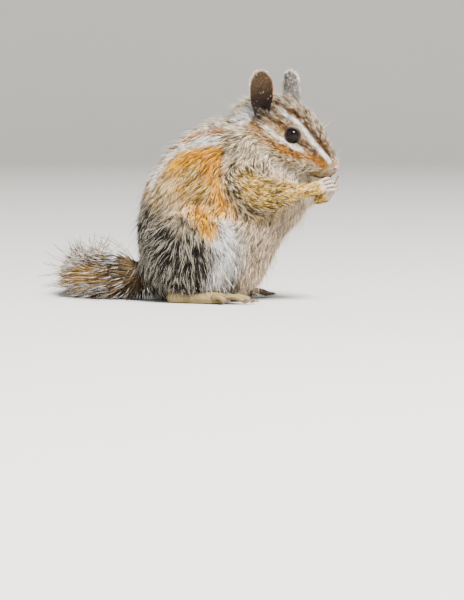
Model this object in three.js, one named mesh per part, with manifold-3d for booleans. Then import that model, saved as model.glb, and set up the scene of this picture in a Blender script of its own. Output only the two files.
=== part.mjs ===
// A chipmunk, life size, sitting up on its haunches with both forepaws held to its mouth and its tail on the ground.
// Millimetres, +Z up. It faces +X, its left side is +Y, and the origin is on the ground under its seat.
// The solids reach out to the tips of the coat: the short coat is part of each smooth form, and the long brush of the
// tail is made lock by lock.
import * as THREE from "three";
import { mergeVertices } from "three/addons/utils/BufferGeometryUtils.js";
import Module from "manifold-3d";

const wasm = await Module();
wasm.setup();

// Driving dimensions

const GAP = 0.3; // between two nodes that touch
const LEFT = 1;
const RIGHT = -1;
const SIDES = { left: LEFT, right: RIGHT };

// The trunk is a row of sections from the seat to the nape. Each runs from a point of the back to one of the belly.
const TRUNK = [
  { back: [-4, -0.9], belly: [5, -0.9], half: 4, low: 0.0 },
  { back: [-11.6, 1.2], belly: [14, 0.2], half: 12, low: 0.0 },
  { back: [-15.0, 7.5], belly: [25, 4.2], half: 16.6, low: 0.0 },
  { back: [-16.9, 16.5], belly: [30.2, 13], half: 18.4, low: 0.02 },
  { back: [-17.4, 26], belly: [34.6, 21.5], half: 18.2, low: 0.02 },
  { back: [-15.9, 36], belly: [40.4, 27.6], half: 16.8, low: -0.02 },
  { back: [-12.2, 45], belly: [43.8, 32.6], half: 15.4, low: -0.06 },
  { back: [-5.8, 53.4], belly: [47.2, 37.2], half: 14.6, low: -0.08 },
  { back: [3.0, 59.8], belly: [47.6, 42.6], half: 14.0, low: -0.08 },
  { back: [12.0, 63.8], belly: [44.4, 48], half: 12.6, low: 0.0 },
  { back: [20.0, 65.4], belly: [35, 51], half: 9.0, low: 0.0 },
];
const NECK_AT = { point: [14, 0, 57], facing: [0.57, 0, 0.82] };

const HEAD = {
  nose: [55.2, -7.0, 47.2], // the nose tip, about which the head is posed
  turn: -17, // degrees to its left
  nod: 31, // degrees down
};
// Sections of the head, by how far they lie behind the nose tip.
const SKULL = [
  { behind: 0.0, top: -0.4, bottom: -3.2, half: 1.5 },
  { behind: 1.2, top: 1.0, bottom: -5.0, half: 3.0 },
  { behind: 4.0, top: 3.3, bottom: -7.6, half: 5.1 },
  { behind: 8.0, top: 5.9, bottom: -9.6, half: 7.0 },
  { behind: 12.5, top: 8.0, bottom: -11.6, half: 9.2 },
  { behind: 17.0, top: 9.8, bottom: -13.0, half: 11.1 },
  { behind: 22.0, top: 10.9, bottom: -13.6, half: 12.4 },
  { behind: 27.0, top: 11.0, bottom: -13.2, half: 12.8 },
  { behind: 32.0, top: 10.0, bottom: -12.4, half: 12.2 },
  { behind: 37.0, top: 7.2, bottom: -10.6, half: 10.6 },
  { behind: 41.5, top: 2.6, bottom: -7.6, half: 7.2 },
  { behind: 43.5, top: -1.2, bottom: -4.4, half: 2.6 },
];
// Soft swellings and hollows of the face, on both sides: where, how far they spread and how far they push outwards.
const FACE_FORMS = [
  { name: "cheek", at: [-15, 9.0, -7.5], spread: 6.5, push: 1.5 },
  { name: "whisker pad", at: [-4.5, 4.4, -4.4], spread: 3.0, push: 0.8 },
  { name: "brow", at: [-19, 8.0, 6.4], spread: 3.6, push: 0.7 },
  { name: "hollow before the eye", at: [-11, 7.6, 1.4], spread: 3.6, push: -0.6 },
  { name: "eye socket", at: [-17.5, 10.9, 1.4], spread: 3.6, push: -0.5 },
];

const EYE = { behind: 17.6, out: 8.05, up: 2.1, radius: 3.05, opening: 2.62, lid: 0.55, facing: [0.36, 1, 0.2] };
const NOSTRIL = { at: [-0.35, 1.25, -1.5], radius: 0.5 };
const MOUTH = { front: [-1.2, 0, -5.3], mid: [-4.6, 3.6, -6.6], corner: [-9.0, 6.3, -6.2], groove: 0.36, lip: 0.62 };

const EAR = {
  root: [-28.6, 10.9, 0.6],
  height: 18.4,
  width: 9.2,
  wall: 1.0,
  cup: 2.6,
  lean: 2, // degrees outwards
  rake: -32, // degrees back from square to the head's length
  open: 15, // degrees that the mouth of the cup faces forwards of straight out
};

const HAUNCH = { centre: [5.4, 13.2, 18.4], radii: [16.4, 9.8, 17.4], tilt: -14 };

const ARM = {
  shoulder: [16.5, 9.0, 48],
  elbow: [23.4, 13.2, 38.4],
  shoulderRadius: 11.4,
  elbowRadius: 7.4,
  wristRadius: 3.1,
  flatness: [0.62, 0.78, 0.86, 1], // how thick the arm is against how wide, from shoulder to wrist
  // The paws meet in front of the mouth, which is turned to the right. Each finger runs on from the knuckle and then
  // bends the way of reach.
  left: { wrist: [46.6, 1.2, 36.2], palm: [50.2, -1.0, 37.4], knuckle: [52.6, -2.6, 39.4], reach: [0.05, -0.5, 0.86] },
  right: { wrist: [44.8, -13.2, 39.0], palm: [48.6, -12.0, 40.0], knuckle: [51.2, -10.4, 41.0], reach: [0.42, 0.8, -0.1] },
};
const PAW = { finger: 0.95, fingerLength: 5.4, spread: 1.8, claw: 1.5, clawRadius: 0.4 };

const FOOT = {
  heel: [-3, 14],
  splay: 9, // degrees outwards
  length: 22,
  heelRadius: 2.7,
  ballRadius: 4.1,
  height: 2.6,
  toe: 1.2,
  toes: [
    { across: -3.5, back: 3.4, length: 6.6, yaw: -17 },
    { across: -1.9, back: 0.4, length: 9.0, yaw: -7 },
    { across: 0.1, back: 0.0, length: 9.6, yaw: 0 },
    { across: 2.0, back: 0.6, length: 9.0, yaw: 8 },
    { across: 3.6, back: 4.2, length: 6.8, yaw: 20 },
  ],
  claw: 2.4,
  clawRadius: 0.5,
};

// The tail leaves the rump, lies on the ground and curls away to the left side.
const TAIL = {
  line: [
    [-4, 0, 10.5],
    [-14, 0.5, 9.4],
    [-25.5, 2.5, 8.2],
    [-35, 8.5, 7.8],
    [-40.4, 19, 7.6],
    [-42, 32, 7.4],
    [-40.6, 45, 7.0],
    [-37.6, 55, 6.4],
  ],
  core: [6.4, 5.0, 4.3, 4.1, 3.9, 3.6, 2.9, 1.4],
  seams: [0.4, 0.68], // where it is parted, along its length
  lockRows: 12,
  locksInRow: 6,
  firstRow: 0.1,
  lockLength: 15.5,
  lockWidth: 8.2,
  lockThickness: 2.0,
  lean: 25, // degrees between a lock and the tail
};

const COLOURS = {
  coat: 0x9a8468,
  pale: 0xd8d0c2,
  rufous: 0xa8642c,
  grey: 0x6f675e,
  paw: 0xb9a58a,
  ear: 0x6b5240,
  eye: 0x0b0908,
};

// Geometry helpers

const vec = (a) => new THREE.Vector3(a[0], a[1], a[2]);
const radians = THREE.MathUtils.degToRad;
const onSide = (a, side) => [a[0], a[1] * side, a[2]];

// A number that runs smoothly through a list of values, evenly spaced from 0 to 1.
function smoothThrough(values) {
  const line = new THREE.CatmullRomCurve3(values.map((v) => new THREE.Vector3(v, 0, 0)), false, "catmullrom");
  return (t) => line.getPoint(THREE.MathUtils.clamp(t, 0, 1)).x;
}

// A point that runs smoothly through a list of points, evenly spaced from 0 to 1.
function pathThrough(points) {
  const line = new THREE.CatmullRomCurve3(points.map(vec), false, "catmullrom");
  return (t) => line.getPoint(THREE.MathUtils.clamp(t, 0, 1));
}

// The share of full width that a rounded end leaves, at a share t of the length from that end.
function dome(t, end) {
  const inside = THREE.MathUtils.clamp(1 - t / end, 0, 1);
  return Math.sqrt(1 - inside * inside);
}

// One closed skin through rings of points: pointAt(t, angle) gives a point of the ring at t, and each end closes on the
// middle of its ring.
function loft(pointAt, rings, sides) {
  const positions = [];
  const index = [];
  const add = (p) => positions.push(p.x, p.y, p.z);
  const angles = Array.from({ length: sides }, (_, s) => (2 * Math.PI * s) / sides);
  const middleAt = (t) =>
    angles.reduce((sum, angle) => sum.add(pointAt(t, angle)), new THREE.Vector3()).divideScalar(sides);
  add(middleAt(0));
  for (let r = 1; r < rings; r++) {
    const t = (1 - Math.cos((Math.PI * r) / rings)) / 2;
    const even = r / rings;
    for (const angle of angles) add(pointAt((t + even) / 2, angle));
  }
  add(middleAt(1));
  const last = 1 + (rings - 1) * sides;
  const at = (r, s) => 1 + (r - 1) * sides + (s % sides);
  for (let s = 0; s < sides; s++) {
    index.push(0, at(1, s + 1), at(1, s));
    index.push(last, at(rings - 1, s), at(rings - 1, s + 1));
    for (let r = 1; r < rings - 1; r++) {
      index.push(at(r, s), at(r, s + 1), at(r + 1, s + 1));
      index.push(at(r, s), at(r + 1, s + 1), at(r + 1, s));
    }
  }
  const geometry = new THREE.BufferGeometry();
  geometry.setAttribute("position", new THREE.Float32BufferAttribute(positions, 3));
  geometry.setIndex(index);
  return geometry;
}

// A limb with rounded ends along a line of points. Its sections are ellipses: wide across, and thick along up.
function limb(points, wide, thick, { up = [0, 0, 1], rings = 8, sides = 12, round = 0.12 } = {}) {
  const line = pathThrough(points);
  const width = smoothThrough(wide);
  const depth = smoothThrough(thick);
  const upward = vec(up);
  return loft(
    (t, angle) => {
      const along = line(t + 0.01).sub(line(t - 0.01)).normalize();
      const across = new THREE.Vector3().crossVectors(upward, along).normalize();
      const raised = new THREE.Vector3().crossVectors(along, across);
      const end = Math.min(dome(t, round), dome(1 - t, round));
      return line(t)
        .addScaledVector(across, Math.cos(angle) * width(t) * end)
        .addScaledVector(raised, Math.sin(angle) * depth(t) * end);
    },
    rings,
    sides,
  );
}

// The geometry swollen by a distance along its own normals.
function grown(geometry, by = GAP) {
  const swollen = mergeVertices(bare(geometry), 1e-4);
  swollen.computeVertexNormals();
  const normal = swollen.getAttribute("normal");
  const position = swollen.getAttribute("position");
  const flip = signedVolume(swollen) < 0 ? -1 : 1;
  for (let i = 0; i < position.count; i++) {
    const p = new THREE.Vector3().fromBufferAttribute(position, i);
    p.addScaledVector(new THREE.Vector3().fromBufferAttribute(normal, i), by * flip);
    position.setXYZ(i, p.x, p.y, p.z);
  }
  return swollen;
}

function bare(geometry) {
  const copy = geometry.clone();
  copy.deleteAttribute("normal");
  copy.deleteAttribute("uv");
  return copy;
}

function signedVolume(geometry) {
  const position = geometry.getAttribute("position");
  const corner = (i) => new THREE.Vector3().fromBufferAttribute(position, geometry.index.getX(i));
  let six = 0;
  for (let i = 0; i < geometry.index.count; i += 3) six += corner(i).dot(corner(i + 1).cross(corner(i + 2)));
  return six / 6;
}

// A closed geometry as a solid, its faces turned outwards.
function solid(geometry) {
  const merged = mergeVertices(bare(geometry), 1e-4);
  const triVerts = new Uint32Array(merged.index.array);
  if (signedVolume(merged) < 0) triVerts.reverse();
  const vertProperties = new Float32Array(merged.getAttribute("position").array);
  return new wasm.Manifold(new wasm.Mesh({ numProp: 3, vertProperties, triVerts }));
}

const fuse = (solids) => solids.reduce((whole, piece) => whole.add(piece));
const cutAway = (whole, cutters) => cutters.reduce((left, cutter) => left.subtract(cutter), whole);
const aboveGround = (whole) => whole.trimByPlane([0, 0, 1], 0);

// The largest closed surface of a solid, so that a loose scrap left by a cut is dropped.
function largest(whole) {
  return whole.decompose().reduce((a, b) => (a.volume() > b.volume() ? a : b));
}

function geometryOf(whole) {
  const mesh = whole.getMesh();
  const geometry = new THREE.BufferGeometry();
  geometry.setAttribute("position", new THREE.BufferAttribute(mesh.vertProperties.slice(), 3));
  geometry.setIndex(new THREE.BufferAttribute(mesh.triVerts.slice(), 1));
  return geometry;
}

function meshOf(name, whole, colour, roughness = 0.9) {
  const geometry = geometryOf(largest(whole));
  geometry.computeVertexNormals();
  const material = new THREE.MeshStandardMaterial({ color: colour, roughness, metalness: 0 });
  const made = new THREE.Mesh(geometry, material);
  made.name = name;
  return made;
}

function placed(geometry, matrix) {
  return geometry.clone().applyMatrix4(matrix);
}

// A repeatable draw of numbers from 0 to 1.
function seededDraw(seed) {
  let state = seed;
  return () => {
    state = (state * 1664525 + 1013904223) % 4294967296;
    return state / 4294967296;
  };
}

// Head

const headPose = new THREE.Group();
headPose.position.set(...HEAD.nose);
headPose.rotation.order = "ZYX";
headPose.rotation.set(0, radians(HEAD.nod), radians(HEAD.turn));
headPose.updateMatrixWorld(true);

function skullGeometry(rings = 20, sides = 24) {
  const top = smoothThrough(SKULL.map((s) => s.top));
  const bottom = smoothThrough(SKULL.map((s) => s.bottom));
  const half = smoothThrough(SKULL.map((s) => s.half));
  const behind = smoothThrough(SKULL.map((s) => s.behind));
  const lowCheeks = 0.13; // how much wider the section is below its middle
  const geometry = loft(
    (t, angle) => {
      const end = Math.min(dome(t, 0.05), dome(1 - t, 0.06));
      const middle = (top(t) + bottom(t)) / 2;
      const high = ((top(t) - bottom(t)) / 2) * end;
      const wide = half(t) * end * (1 - lowCheeks * Math.cos(angle));
      return new THREE.Vector3(-behind(t), wide * Math.sin(angle), middle + high * Math.cos(angle));
    },
    rings,
    sides,
  );
  const position = geometry.getAttribute("position");
  for (let i = 0; i < position.count; i++) {
    const p = new THREE.Vector3().fromBufferAttribute(position, i);
    for (const side of [LEFT, RIGHT]) {
      for (const form of FACE_FORMS) {
        const centre = vec(onSide(form.at, side));
        const away = p.distanceTo(centre) / form.spread;
        const outwards = new THREE.Vector3(0, centre.y, centre.z * 0.4).normalize();
        p.addScaledVector(outwards, form.push * Math.exp(-away * away * 1.6));
      }
    }
    position.setXYZ(i, p.x, p.y, p.z);
  }
  return geometry;
}

function eyeCentre(side) {
  return vec([-EYE.behind, EYE.out * side, EYE.up]);
}

function eyeGeometry(side, grow = 0) {
  const ball = new THREE.SphereGeometry(EYE.radius + grow, 14, 8);
  const middle = eyeCentre(side);
  return ball.translate(middle.x, middle.y, middle.z);
}

// The rim of the lids: a ring round the opening, a little longer than high, drawn to a point at its front corner.
function lidGeometry(side) {
  const ring = new THREE.TorusGeometry(EYE.opening, EYE.lid, 4, 16);
  const position = ring.getAttribute("position");
  for (let i = 0; i < position.count; i++) {
    const x = position.getX(i);
    const corner = Math.max(0, x / EYE.opening - 0.55) * 0.9;
    position.setX(i, x + corner);
    position.setY(i, position.getY(i) * (0.97 - corner * 0.15) - corner * 0.5);
  }
  const facing = vec(onSide(EYE.facing, side)).normalize();
  const forward = new THREE.Vector3(1, 0, -0.32).addScaledVector(facing, -facing.x).normalize();
  const upward = new THREE.Vector3().crossVectors(facing, forward).multiplyScalar(side === RIGHT ? 1 : -1);
  const handed = side === RIGHT ? facing : facing.clone().negate();
  const turn = new THREE.Matrix4().makeBasis(forward, upward, handed);
  const depth = Math.sqrt(EYE.radius ** 2 - EYE.opening ** 2);
  turn.setPosition(eyeCentre(side).addScaledVector(facing, depth + 0.1));
  return placed(ring, turn);
}

function mouthLine() {
  const half = [MOUTH.corner, MOUTH.mid, MOUTH.front];
  return [...half.map((p) => onSide(p, RIGHT)), ...half.slice(0, 2).reverse()];
}

function headSolid() {
  const mouth = mouthLine();
  const lipAt = (up) => mouth.map(([x, y, z]) => [x - 0.25, y * 0.97, z + up]);
  const lip = (up) => {
    const radii = [0.3, MOUTH.lip, MOUTH.lip, MOUTH.lip, 0.3];
    return solid(limb(lipAt(up), radii, radii, { up: [0.3, 0, 1], rings: 10, sides: 5 }));
  };
  const grooveRadii = mouth.map(() => MOUTH.groove);
  const groove = solid(limb(mouth, grooveRadii, grooveRadii, { up: [0.3, 0, 1], rings: 10, sides: 5 }));
  const forms = [solid(skullGeometry()), lip(0.75), lip(-0.75)];
  const hollows = [groove];
  for (const side of [LEFT, RIGHT]) {
    forms.push(solid(lidGeometry(side)));
    hollows.push(solid(eyeGeometry(side, GAP)));
    const [x, y, z] = onSide(NOSTRIL.at, side);
    const inwards = [[x + 1.2, y * 1.4, z + 0.1], [x - 0.6, y * 0.9, z]];
    const radii = [NOSTRIL.radius, NOSTRIL.radius * 0.8];
    hollows.push(solid(limb(inwards, radii, radii, { rings: 4, sides: 6 })));
  }
  return cutAway(fuse(forms), hollows);
}

// An ear is a leaf, narrow at its root and round at its top, curved across into a cup of even wall.
function earGeometry(side) {
  const width = smoothThrough([0.62, 0.8, 0.94, 1, 1, 0.96, 0.9]);
  const curl = smoothThrough([1.3, 1.2, 1.05, 0.9, 0.75, 0.62, 0.5]);
  const shell = loft(
    (t, angle) => {
      const across = Math.cos(angle);
      const edge = dome(1 - t, 0.3);
      const half = (EAR.width / 2) * width(t) * edge;
      const deep = EAR.cup * curl(t) * edge;
      const wall = EAR.wall * Math.sin(angle) * (0.35 + 0.65 * edge) * 0.5;
      return new THREE.Vector3(across * half, (across * across - 0.5) * deep + wall, t * EAR.height);
    },
    10,
    14,
  );
  const pose = new THREE.Matrix4().makeRotationZ(radians(90 * (1 - side)) - radians(EAR.open) * side);
  pose.premultiply(new THREE.Matrix4().makeRotationY(radians(EAR.rake)));
  pose.premultiply(new THREE.Matrix4().makeRotationX(radians(-EAR.lean * side)));
  pose.setPosition(vec(onSide(EAR.root, side)));
  return placed(shell, pose);
}

// Trunk, limbs and tail

function trunkGeometry(rings = 18, sides = 24) {
  const path = (key) => pathThrough(TRUNK.map((s) => [s[key][0], 0, s[key][1]]));
  const back = path("back");
  const belly = path("belly");
  const half = smoothThrough(TRUNK.map((s) => s.half));
  const low = smoothThrough(TRUNK.map((s) => s.low));
  return loft(
    (t, angle) => {
      const end = Math.min(dome(t, 0.07), dome(1 - t, 0.1));
      const from = back(t);
      const to = belly(t);
      const middle = from.clone().add(to).multiplyScalar(0.5);
      const reach = to.sub(from).multiplyScalar(0.5 * end);
      const point = middle.addScaledVector(reach, Math.cos(angle));
      point.y = half(t) * end * Math.sin(angle) * (1 + low(t) * Math.cos(angle));
      return point;
    },
    rings,
    sides,
  );
}

function haunchGeometry(side) {
  const ball = new THREE.SphereGeometry(1, 18, 12);
  ball.rotateX(Math.PI / 2);
  ball.scale(...HAUNCH.radii);
  ball.rotateY(radians(HAUNCH.tilt));
  return ball.translate(...onSide(HAUNCH.centre, side));
}

function armGeometry(side) {
  const reach = side === LEFT ? ARM.left : ARM.right;
  const line = [onSide(ARM.shoulder, side), onSide(ARM.elbow, side), reach.wrist];
  const bend = vec(line[1]).lerp(vec(line[2]), 0.35).add(new THREE.Vector3(0, 0, -1.2)).toArray();
  const points = [line[0], line[1], bend, line[2]];
  const radii = [ARM.shoulderRadius, ARM.elbowRadius, ARM.elbowRadius * 0.86, ARM.wristRadius];
  const thick = radii.map((r, i) => r * ARM.flatness[i]);
  return limb(points, radii, thick, { up: [0, side, 0.001], rings: 12, sides: 14, round: 0.24 });
}

function clawGeometry(base, direction, length, radius, up) {
  const tip = vec(base).addScaledVector(direction, length);
  const middle = vec(base).lerp(tip, 0.5).addScaledVector(vec(up), length * 0.14);
  const start = vec(base).addScaledVector(direction, -length * 0.35);
  const points = [start, middle, tip].map((p) => p.toArray());
  return limb(points, [radius, radius * 0.8, 0.12], [radius * 1.2, radius, 0.14], { rings: 3, sides: 5, round: 0.05 });
}

// A forepaw: the palm, four fingers that curl in to the mouth, and a claw on each.
function forepawSolid(side) {
  const { wrist, palm, knuckle, reach } = side === LEFT ? ARM.left : ARM.right;
  const pieces = [
    solid(limb([wrist, palm, knuckle], [2.5, 3.1, 2.6], [2.2, 2.3, 1.7], { up: [0, side, 0.2], rings: 7, sides: 10 })),
  ];
  const along = vec(knuckle).sub(vec(palm)).normalize();
  const inward = vec(reach).normalize();
  const spreadAxis = new THREE.Vector3().crossVectors(along, inward).normalize();
  for (let i = 0; i < 4; i++) {
    const offset = (i - 1.5) * PAW.spread;
    const long = PAW.fingerLength * (i === 0 || i === 3 ? 0.86 : 1);
    const root = vec(knuckle).addScaledVector(spreadAxis, offset * 0.75).addScaledVector(along, -1.4);
    const joint = root.clone().addScaledVector(along, long * 0.48).addScaledVector(spreadAxis, offset * 0.18);
    const tip = joint.clone().addScaledVector(inward, long * 0.5).addScaledVector(along, long * 0.1);
    const radius = PAW.finger;
    const points = [root, joint, tip].map((p) => p.toArray());
    const radii = [radius, radius, radius * 0.85];
    pieces.push(solid(limb(points, radii, radii, { up: spreadAxis.toArray(), rings: 5, sides: 6 })));
    const bend = inward.clone().addScaledVector(along, -0.3).normalize();
    pieces.push(solid(clawGeometry(tip.toArray(), bend, PAW.claw, PAW.clawRadius, along.toArray())));
  }
  return fuse(pieces);
}

// A hind foot lies flat: the long sole, five toes that arch down to the ground, and a claw on each.
function hindfootSolid(side) {
  const at = (along, across, up) => [along, across * side, up];
  const sole = limb(
    [at(-1.5, 0, 1.9), at(6, 0, 1.8), at(15, 0.2, 1.8), at(FOOT.length, 0.2, 1.5)],
    [FOOT.heelRadius, FOOT.heelRadius, FOOT.ballRadius, FOOT.ballRadius * 0.95],
    [3.0, FOOT.height, FOOT.height, 2.0],
    { rings: 9, sides: 12 },
  );
  const pieces = [solid(sole)];
  for (const toe of FOOT.toes) {
    const yaw = radians(toe.yaw);
    const start = [FOOT.length - 1.5 - toe.back, toe.across];
    const point = (share, up) => {
      const reach = toe.length * share;
      return at(start[0] + reach * Math.cos(yaw), start[1] + reach * Math.sin(yaw), up);
    };
    const line = [point(0, 1.7), point(0.4, 2.7), point(0.75, 2.1), point(1, 1.0)];
    const radii = [FOOT.toe, FOOT.toe * 0.95, FOOT.toe * 0.9, FOOT.toe * 0.85];
    pieces.push(solid(limb(line, radii, radii, { rings: 5, sides: 6 })));
    const direction = new THREE.Vector3(Math.cos(yaw), Math.sin(yaw) * side, -0.12).normalize();
    pieces.push(solid(clawGeometry(point(1, 1.1), direction, FOOT.claw, FOOT.clawRadius, [0, 0, 1])));
  }
  const pose = new THREE.Matrix4().makeRotationZ(radians(FOOT.splay * side));
  pose.setPosition(FOOT.heel[0], FOOT.heel[1] * side, 0);
  return aboveGround(fuse(pieces).transform(pose.elements));
}

// A lock of the brush: a flat blade that widens from its root and tapers to a point as it bends along the tail.
function lockGeometry(root, outward, along, length, width, thickness) {
  const flat = new THREE.Vector3().crossVectors(outward, along).normalize();
  const lean = Math.tan(radians(90 - TAIL.lean));
  const path = (t) =>
    root
      .clone()
      .addScaledVector(outward, length * (0.62 * t - 0.16 * t * t))
      .addScaledVector(along, length * 0.42 * lean * t * (0.75 + 0.25 * t));
  return loft(
    (t, angle) => {
      const taper = 1 - t ** 3 + 0.02;
      const tangent = path(t + 0.02).sub(path(t - 0.02)).normalize();
      const normal = new THREE.Vector3().crossVectors(tangent, flat).normalize();
      return path(t)
        .addScaledVector(flat, Math.cos(angle) * (width / 2) * taper)
        .addScaledVector(normal, Math.sin(angle) * (thickness / 2) * taper);
    },
    3,
    4,
  );
}

function tailSolids() {
  const line = new THREE.CatmullRomCurve3(TAIL.line.map(vec), false, "centripetal");
  const radius = smoothThrough(TAIL.core);
  const draw = seededDraw(11);
  const directionAt = (t) => line.getTangentAt(THREE.MathUtils.clamp(t, 0, 1));
  const bounds = [0, ...TAIL.seams, 1];
  const groups = bounds.slice(1).map((end, i) => [tailCore(line, radius, bounds[i], end)]);
  for (let row = 0; row < TAIL.lockRows; row++) {
    const t = TAIL.firstRow + (0.985 - TAIL.firstRow) * (row / (TAIL.lockRows - 1));
    const part = bounds.findIndex((end, i) => i > 0 && t <= end) - 1;
    const along = directionAt(t);
    const across = new THREE.Vector3().crossVectors(new THREE.Vector3(0, 0, 1), along).normalize();
    const raised = new THREE.Vector3().crossVectors(along, across);
    const fullness = 0.84 + 0.16 * Math.sin(Math.PI * Math.min(1, (t - TAIL.firstRow) * 1.5));
    for (let i = 0; i < TAIL.locksInRow; i++) {
      const turn = ((i + (row % 2) / 2 + 0.16 * (draw() - 0.5)) / TAIL.locksInRow) * 2 * Math.PI;
      const outward = across.clone().multiplyScalar(Math.cos(turn)).addScaledVector(raised, Math.sin(turn));
      const sideways = 0.84 + 0.16 * Math.abs(Math.cos(turn));
      const length = TAIL.lockLength * fullness * sideways * (0.94 + 0.12 * draw());
      const root = line.getPointAt(t).addScaledVector(outward, radius(t) * 0.35);
      groups[part].push(solid(lockGeometry(root, outward, along, length, TAIL.lockWidth, TAIL.lockThickness)));
    }
  }
  return groups.map((group, i) => {
    let piece = fuse(group);
    if (i > 0) {
      const seam = TAIL.seams[i - 1];
      piece = piece.subtract(seamDisc(line, directionAt, seam).subtract(seamCone(line, directionAt, seam, GAP)));
    }
    if (i < TAIL.seams.length) piece = piece.subtract(seamCone(line, directionAt, TAIL.seams[i], 0));
    return aboveGround(piece);
  });
}

// The flesh of one length of the tail, from a little before one seam to a little past the next.
function tailCore(line, radius, from, to) {
  const start = Math.max(0, from - 0.02);
  const end = Math.min(1, to + 0.12);
  const steps = 7;
  const shares = Array.from({ length: steps + 1 }, (_, i) => start + ((end - start) * i) / steps);
  const points = shares.map((t) => line.getPointAt(t).toArray());
  const radii = shares.map(radius);
  return solid(limb(points, radii, radii, { rings: 8, sides: 8, round: 0.06 }));
}

// Each seam is a cone that opens along the lie of the locks, so that few locks are cut across.
const SEAM = { reach: 24, before: 12, wide: 26, steeper: 8 };

function seamPose(line, directionAt, t, ahead) {
  const pose = new THREE.Matrix4().lookAt(directionAt(t), new THREE.Vector3(), new THREE.Vector3(0, 0, 1));
  return pose.setPosition(line.getPointAt(t).addScaledVector(directionAt(t), ahead));
}

function seamCone(line, directionAt, t, ahead) {
  const shape = new THREE.ConeGeometry(SEAM.reach * Math.tan(radians(TAIL.lean + SEAM.steeper)), SEAM.reach, 20);
  shape.rotateX(-Math.PI / 2).translate(0, 0, SEAM.reach / 2);
  return solid(placed(shape, seamPose(line, directionAt, t, ahead)));
}

function seamDisc(line, directionAt, t) {
  const shape = new THREE.CylinderGeometry(SEAM.wide, SEAM.wide, SEAM.reach - 2 + SEAM.before, 20);
  shape.rotateX(Math.PI / 2).translate(0, 0, (SEAM.reach - 2 - SEAM.before) / 2);
  return solid(placed(shape, seamPose(line, directionAt, t, 0)));
}

// Assembly

const chipmunk = new THREE.Group();
const headGroup = new THREE.Group();
headGroup.position.copy(headPose.position);
headGroup.rotation.copy(headPose.rotation);
chipmunk.add(headGroup);

const skullInBody = solid(placed(grown(skullGeometry()), headPose.matrixWorld));
const trunk = solid(trunkGeometry());
const trunkGrown = solid(grown(trunkGeometry()));
const haunches = {};
const arms = {};
const armsGrown = [];
const haunchesGrown = [];
const feet = {};
const feetGrown = [];
const paws = {};
const pawsGrown = [];
for (const [name, side] of Object.entries(SIDES)) {
  haunches[name] = solid(haunchGeometry(side));
  haunchesGrown.push(solid(grown(haunchGeometry(side))));
  arms[name] = solid(armGeometry(side));
  armsGrown.push(solid(grown(armGeometry(side))));
  feet[name] = hindfootSolid(side);
  feetGrown.push(solid(grown(geometryOf(feet[name]))));
  paws[name] = forepawSolid(side);
  pawsGrown.push(solid(grown(geometryOf(paws[name]))));
}

const neckFacing = vec(NECK_AT.facing).normalize();
const neckOffset = neckFacing.dot(vec(NECK_AT.point));
const towards = neckFacing.toArray();
const away = neckFacing.clone().negate().toArray();
const carved = cutAway(trunk, [...haunchesGrown, ...armsGrown, ...feetGrown, ...pawsGrown, skullInBody]);
const torso = aboveGround(carved.trimByPlane(away, -(neckOffset - GAP / 2)));
const neck = carved.trimByPlane(towards, neckOffset + GAP / 2);
chipmunk.add(meshOf("torso", torso, COLOURS.coat));
chipmunk.add(meshOf("neck", neck, COLOURS.coat));

headGroup.add(meshOf("head", headSolid(), COLOURS.coat));
for (const [name, side] of Object.entries(SIDES)) {
  headGroup.add(meshOf("eye_" + name, solid(eyeGeometry(side)), COLOURS.eye, 0.1));
  const ear = solid(earGeometry(side)).subtract(solid(grown(skullGeometry())));
  headGroup.add(meshOf("ear_" + name, ear, COLOURS.ear));
}

for (const [name, side] of Object.entries(SIDES)) {
  const reach = side === LEFT ? ARM.left : ARM.right;
  const haunch = cutAway(haunches[name], feetGrown);
  chipmunk.add(meshOf("haunch_" + name, aboveGround(haunch), COLOURS.grey));
  chipmunk.add(meshOf("hindfoot_" + name, feet[name], COLOURS.paw));

  const elbow = vec(onSide(ARM.elbow, side));
  const forearmWay = vec(reach.wrist).sub(elbow).normalize();
  const elbowOffset = forearmWay.dot(elbow) + 3;
  const arm = cutAway(arms[name], [skullInBody]);
  const upper = arm.trimByPlane(forearmWay.clone().negate().toArray(), -(elbowOffset - GAP / 2));
  const paw = cutAway(paws[name], side === RIGHT ? [skullInBody, pawsGrown[0]] : [skullInBody]);
  const wristOffset = forearmWay.dot(vec(reach.wrist)) - 1.2;
  const fore = arm
    .trimByPlane(forearmWay.toArray(), elbowOffset + GAP / 2)
    .trimByPlane(forearmWay.clone().negate().toArray(), -(wristOffset - GAP / 2));
  chipmunk.add(meshOf("upper_arm_" + name, upper, COLOURS.coat));
  chipmunk.add(meshOf("forearm_" + name, fore, COLOURS.coat));
  const pawOnly = paw.trimByPlane(forearmWay.toArray(), wristOffset + GAP / 2);
  chipmunk.add(meshOf("forepaw_" + name, pawOnly, COLOURS.paw));
}

const TAIL_NAMES = ["tail_root", "tail_middle", "tail_tip"];
tailSolids().forEach((piece, i) => {
  const clear = i === 0 ? cutAway(piece, [trunkGrown, ...haunchesGrown]) : piece;
  chipmunk.add(meshOf(TAIL_NAMES[i], clear, COLOURS.rufous));
});

export default chipmunk;
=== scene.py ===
"""The looks of a life-size chipmunk that sits up on its haunches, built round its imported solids."""

import math

import bmesh
import bpy
import numpy as np
from bpy.props import FloatProperty, FloatVectorProperty, IntProperty, PointerProperty
from mathutils import Matrix, Vector
from mathutils.bvhtree import BVHTree


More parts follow.
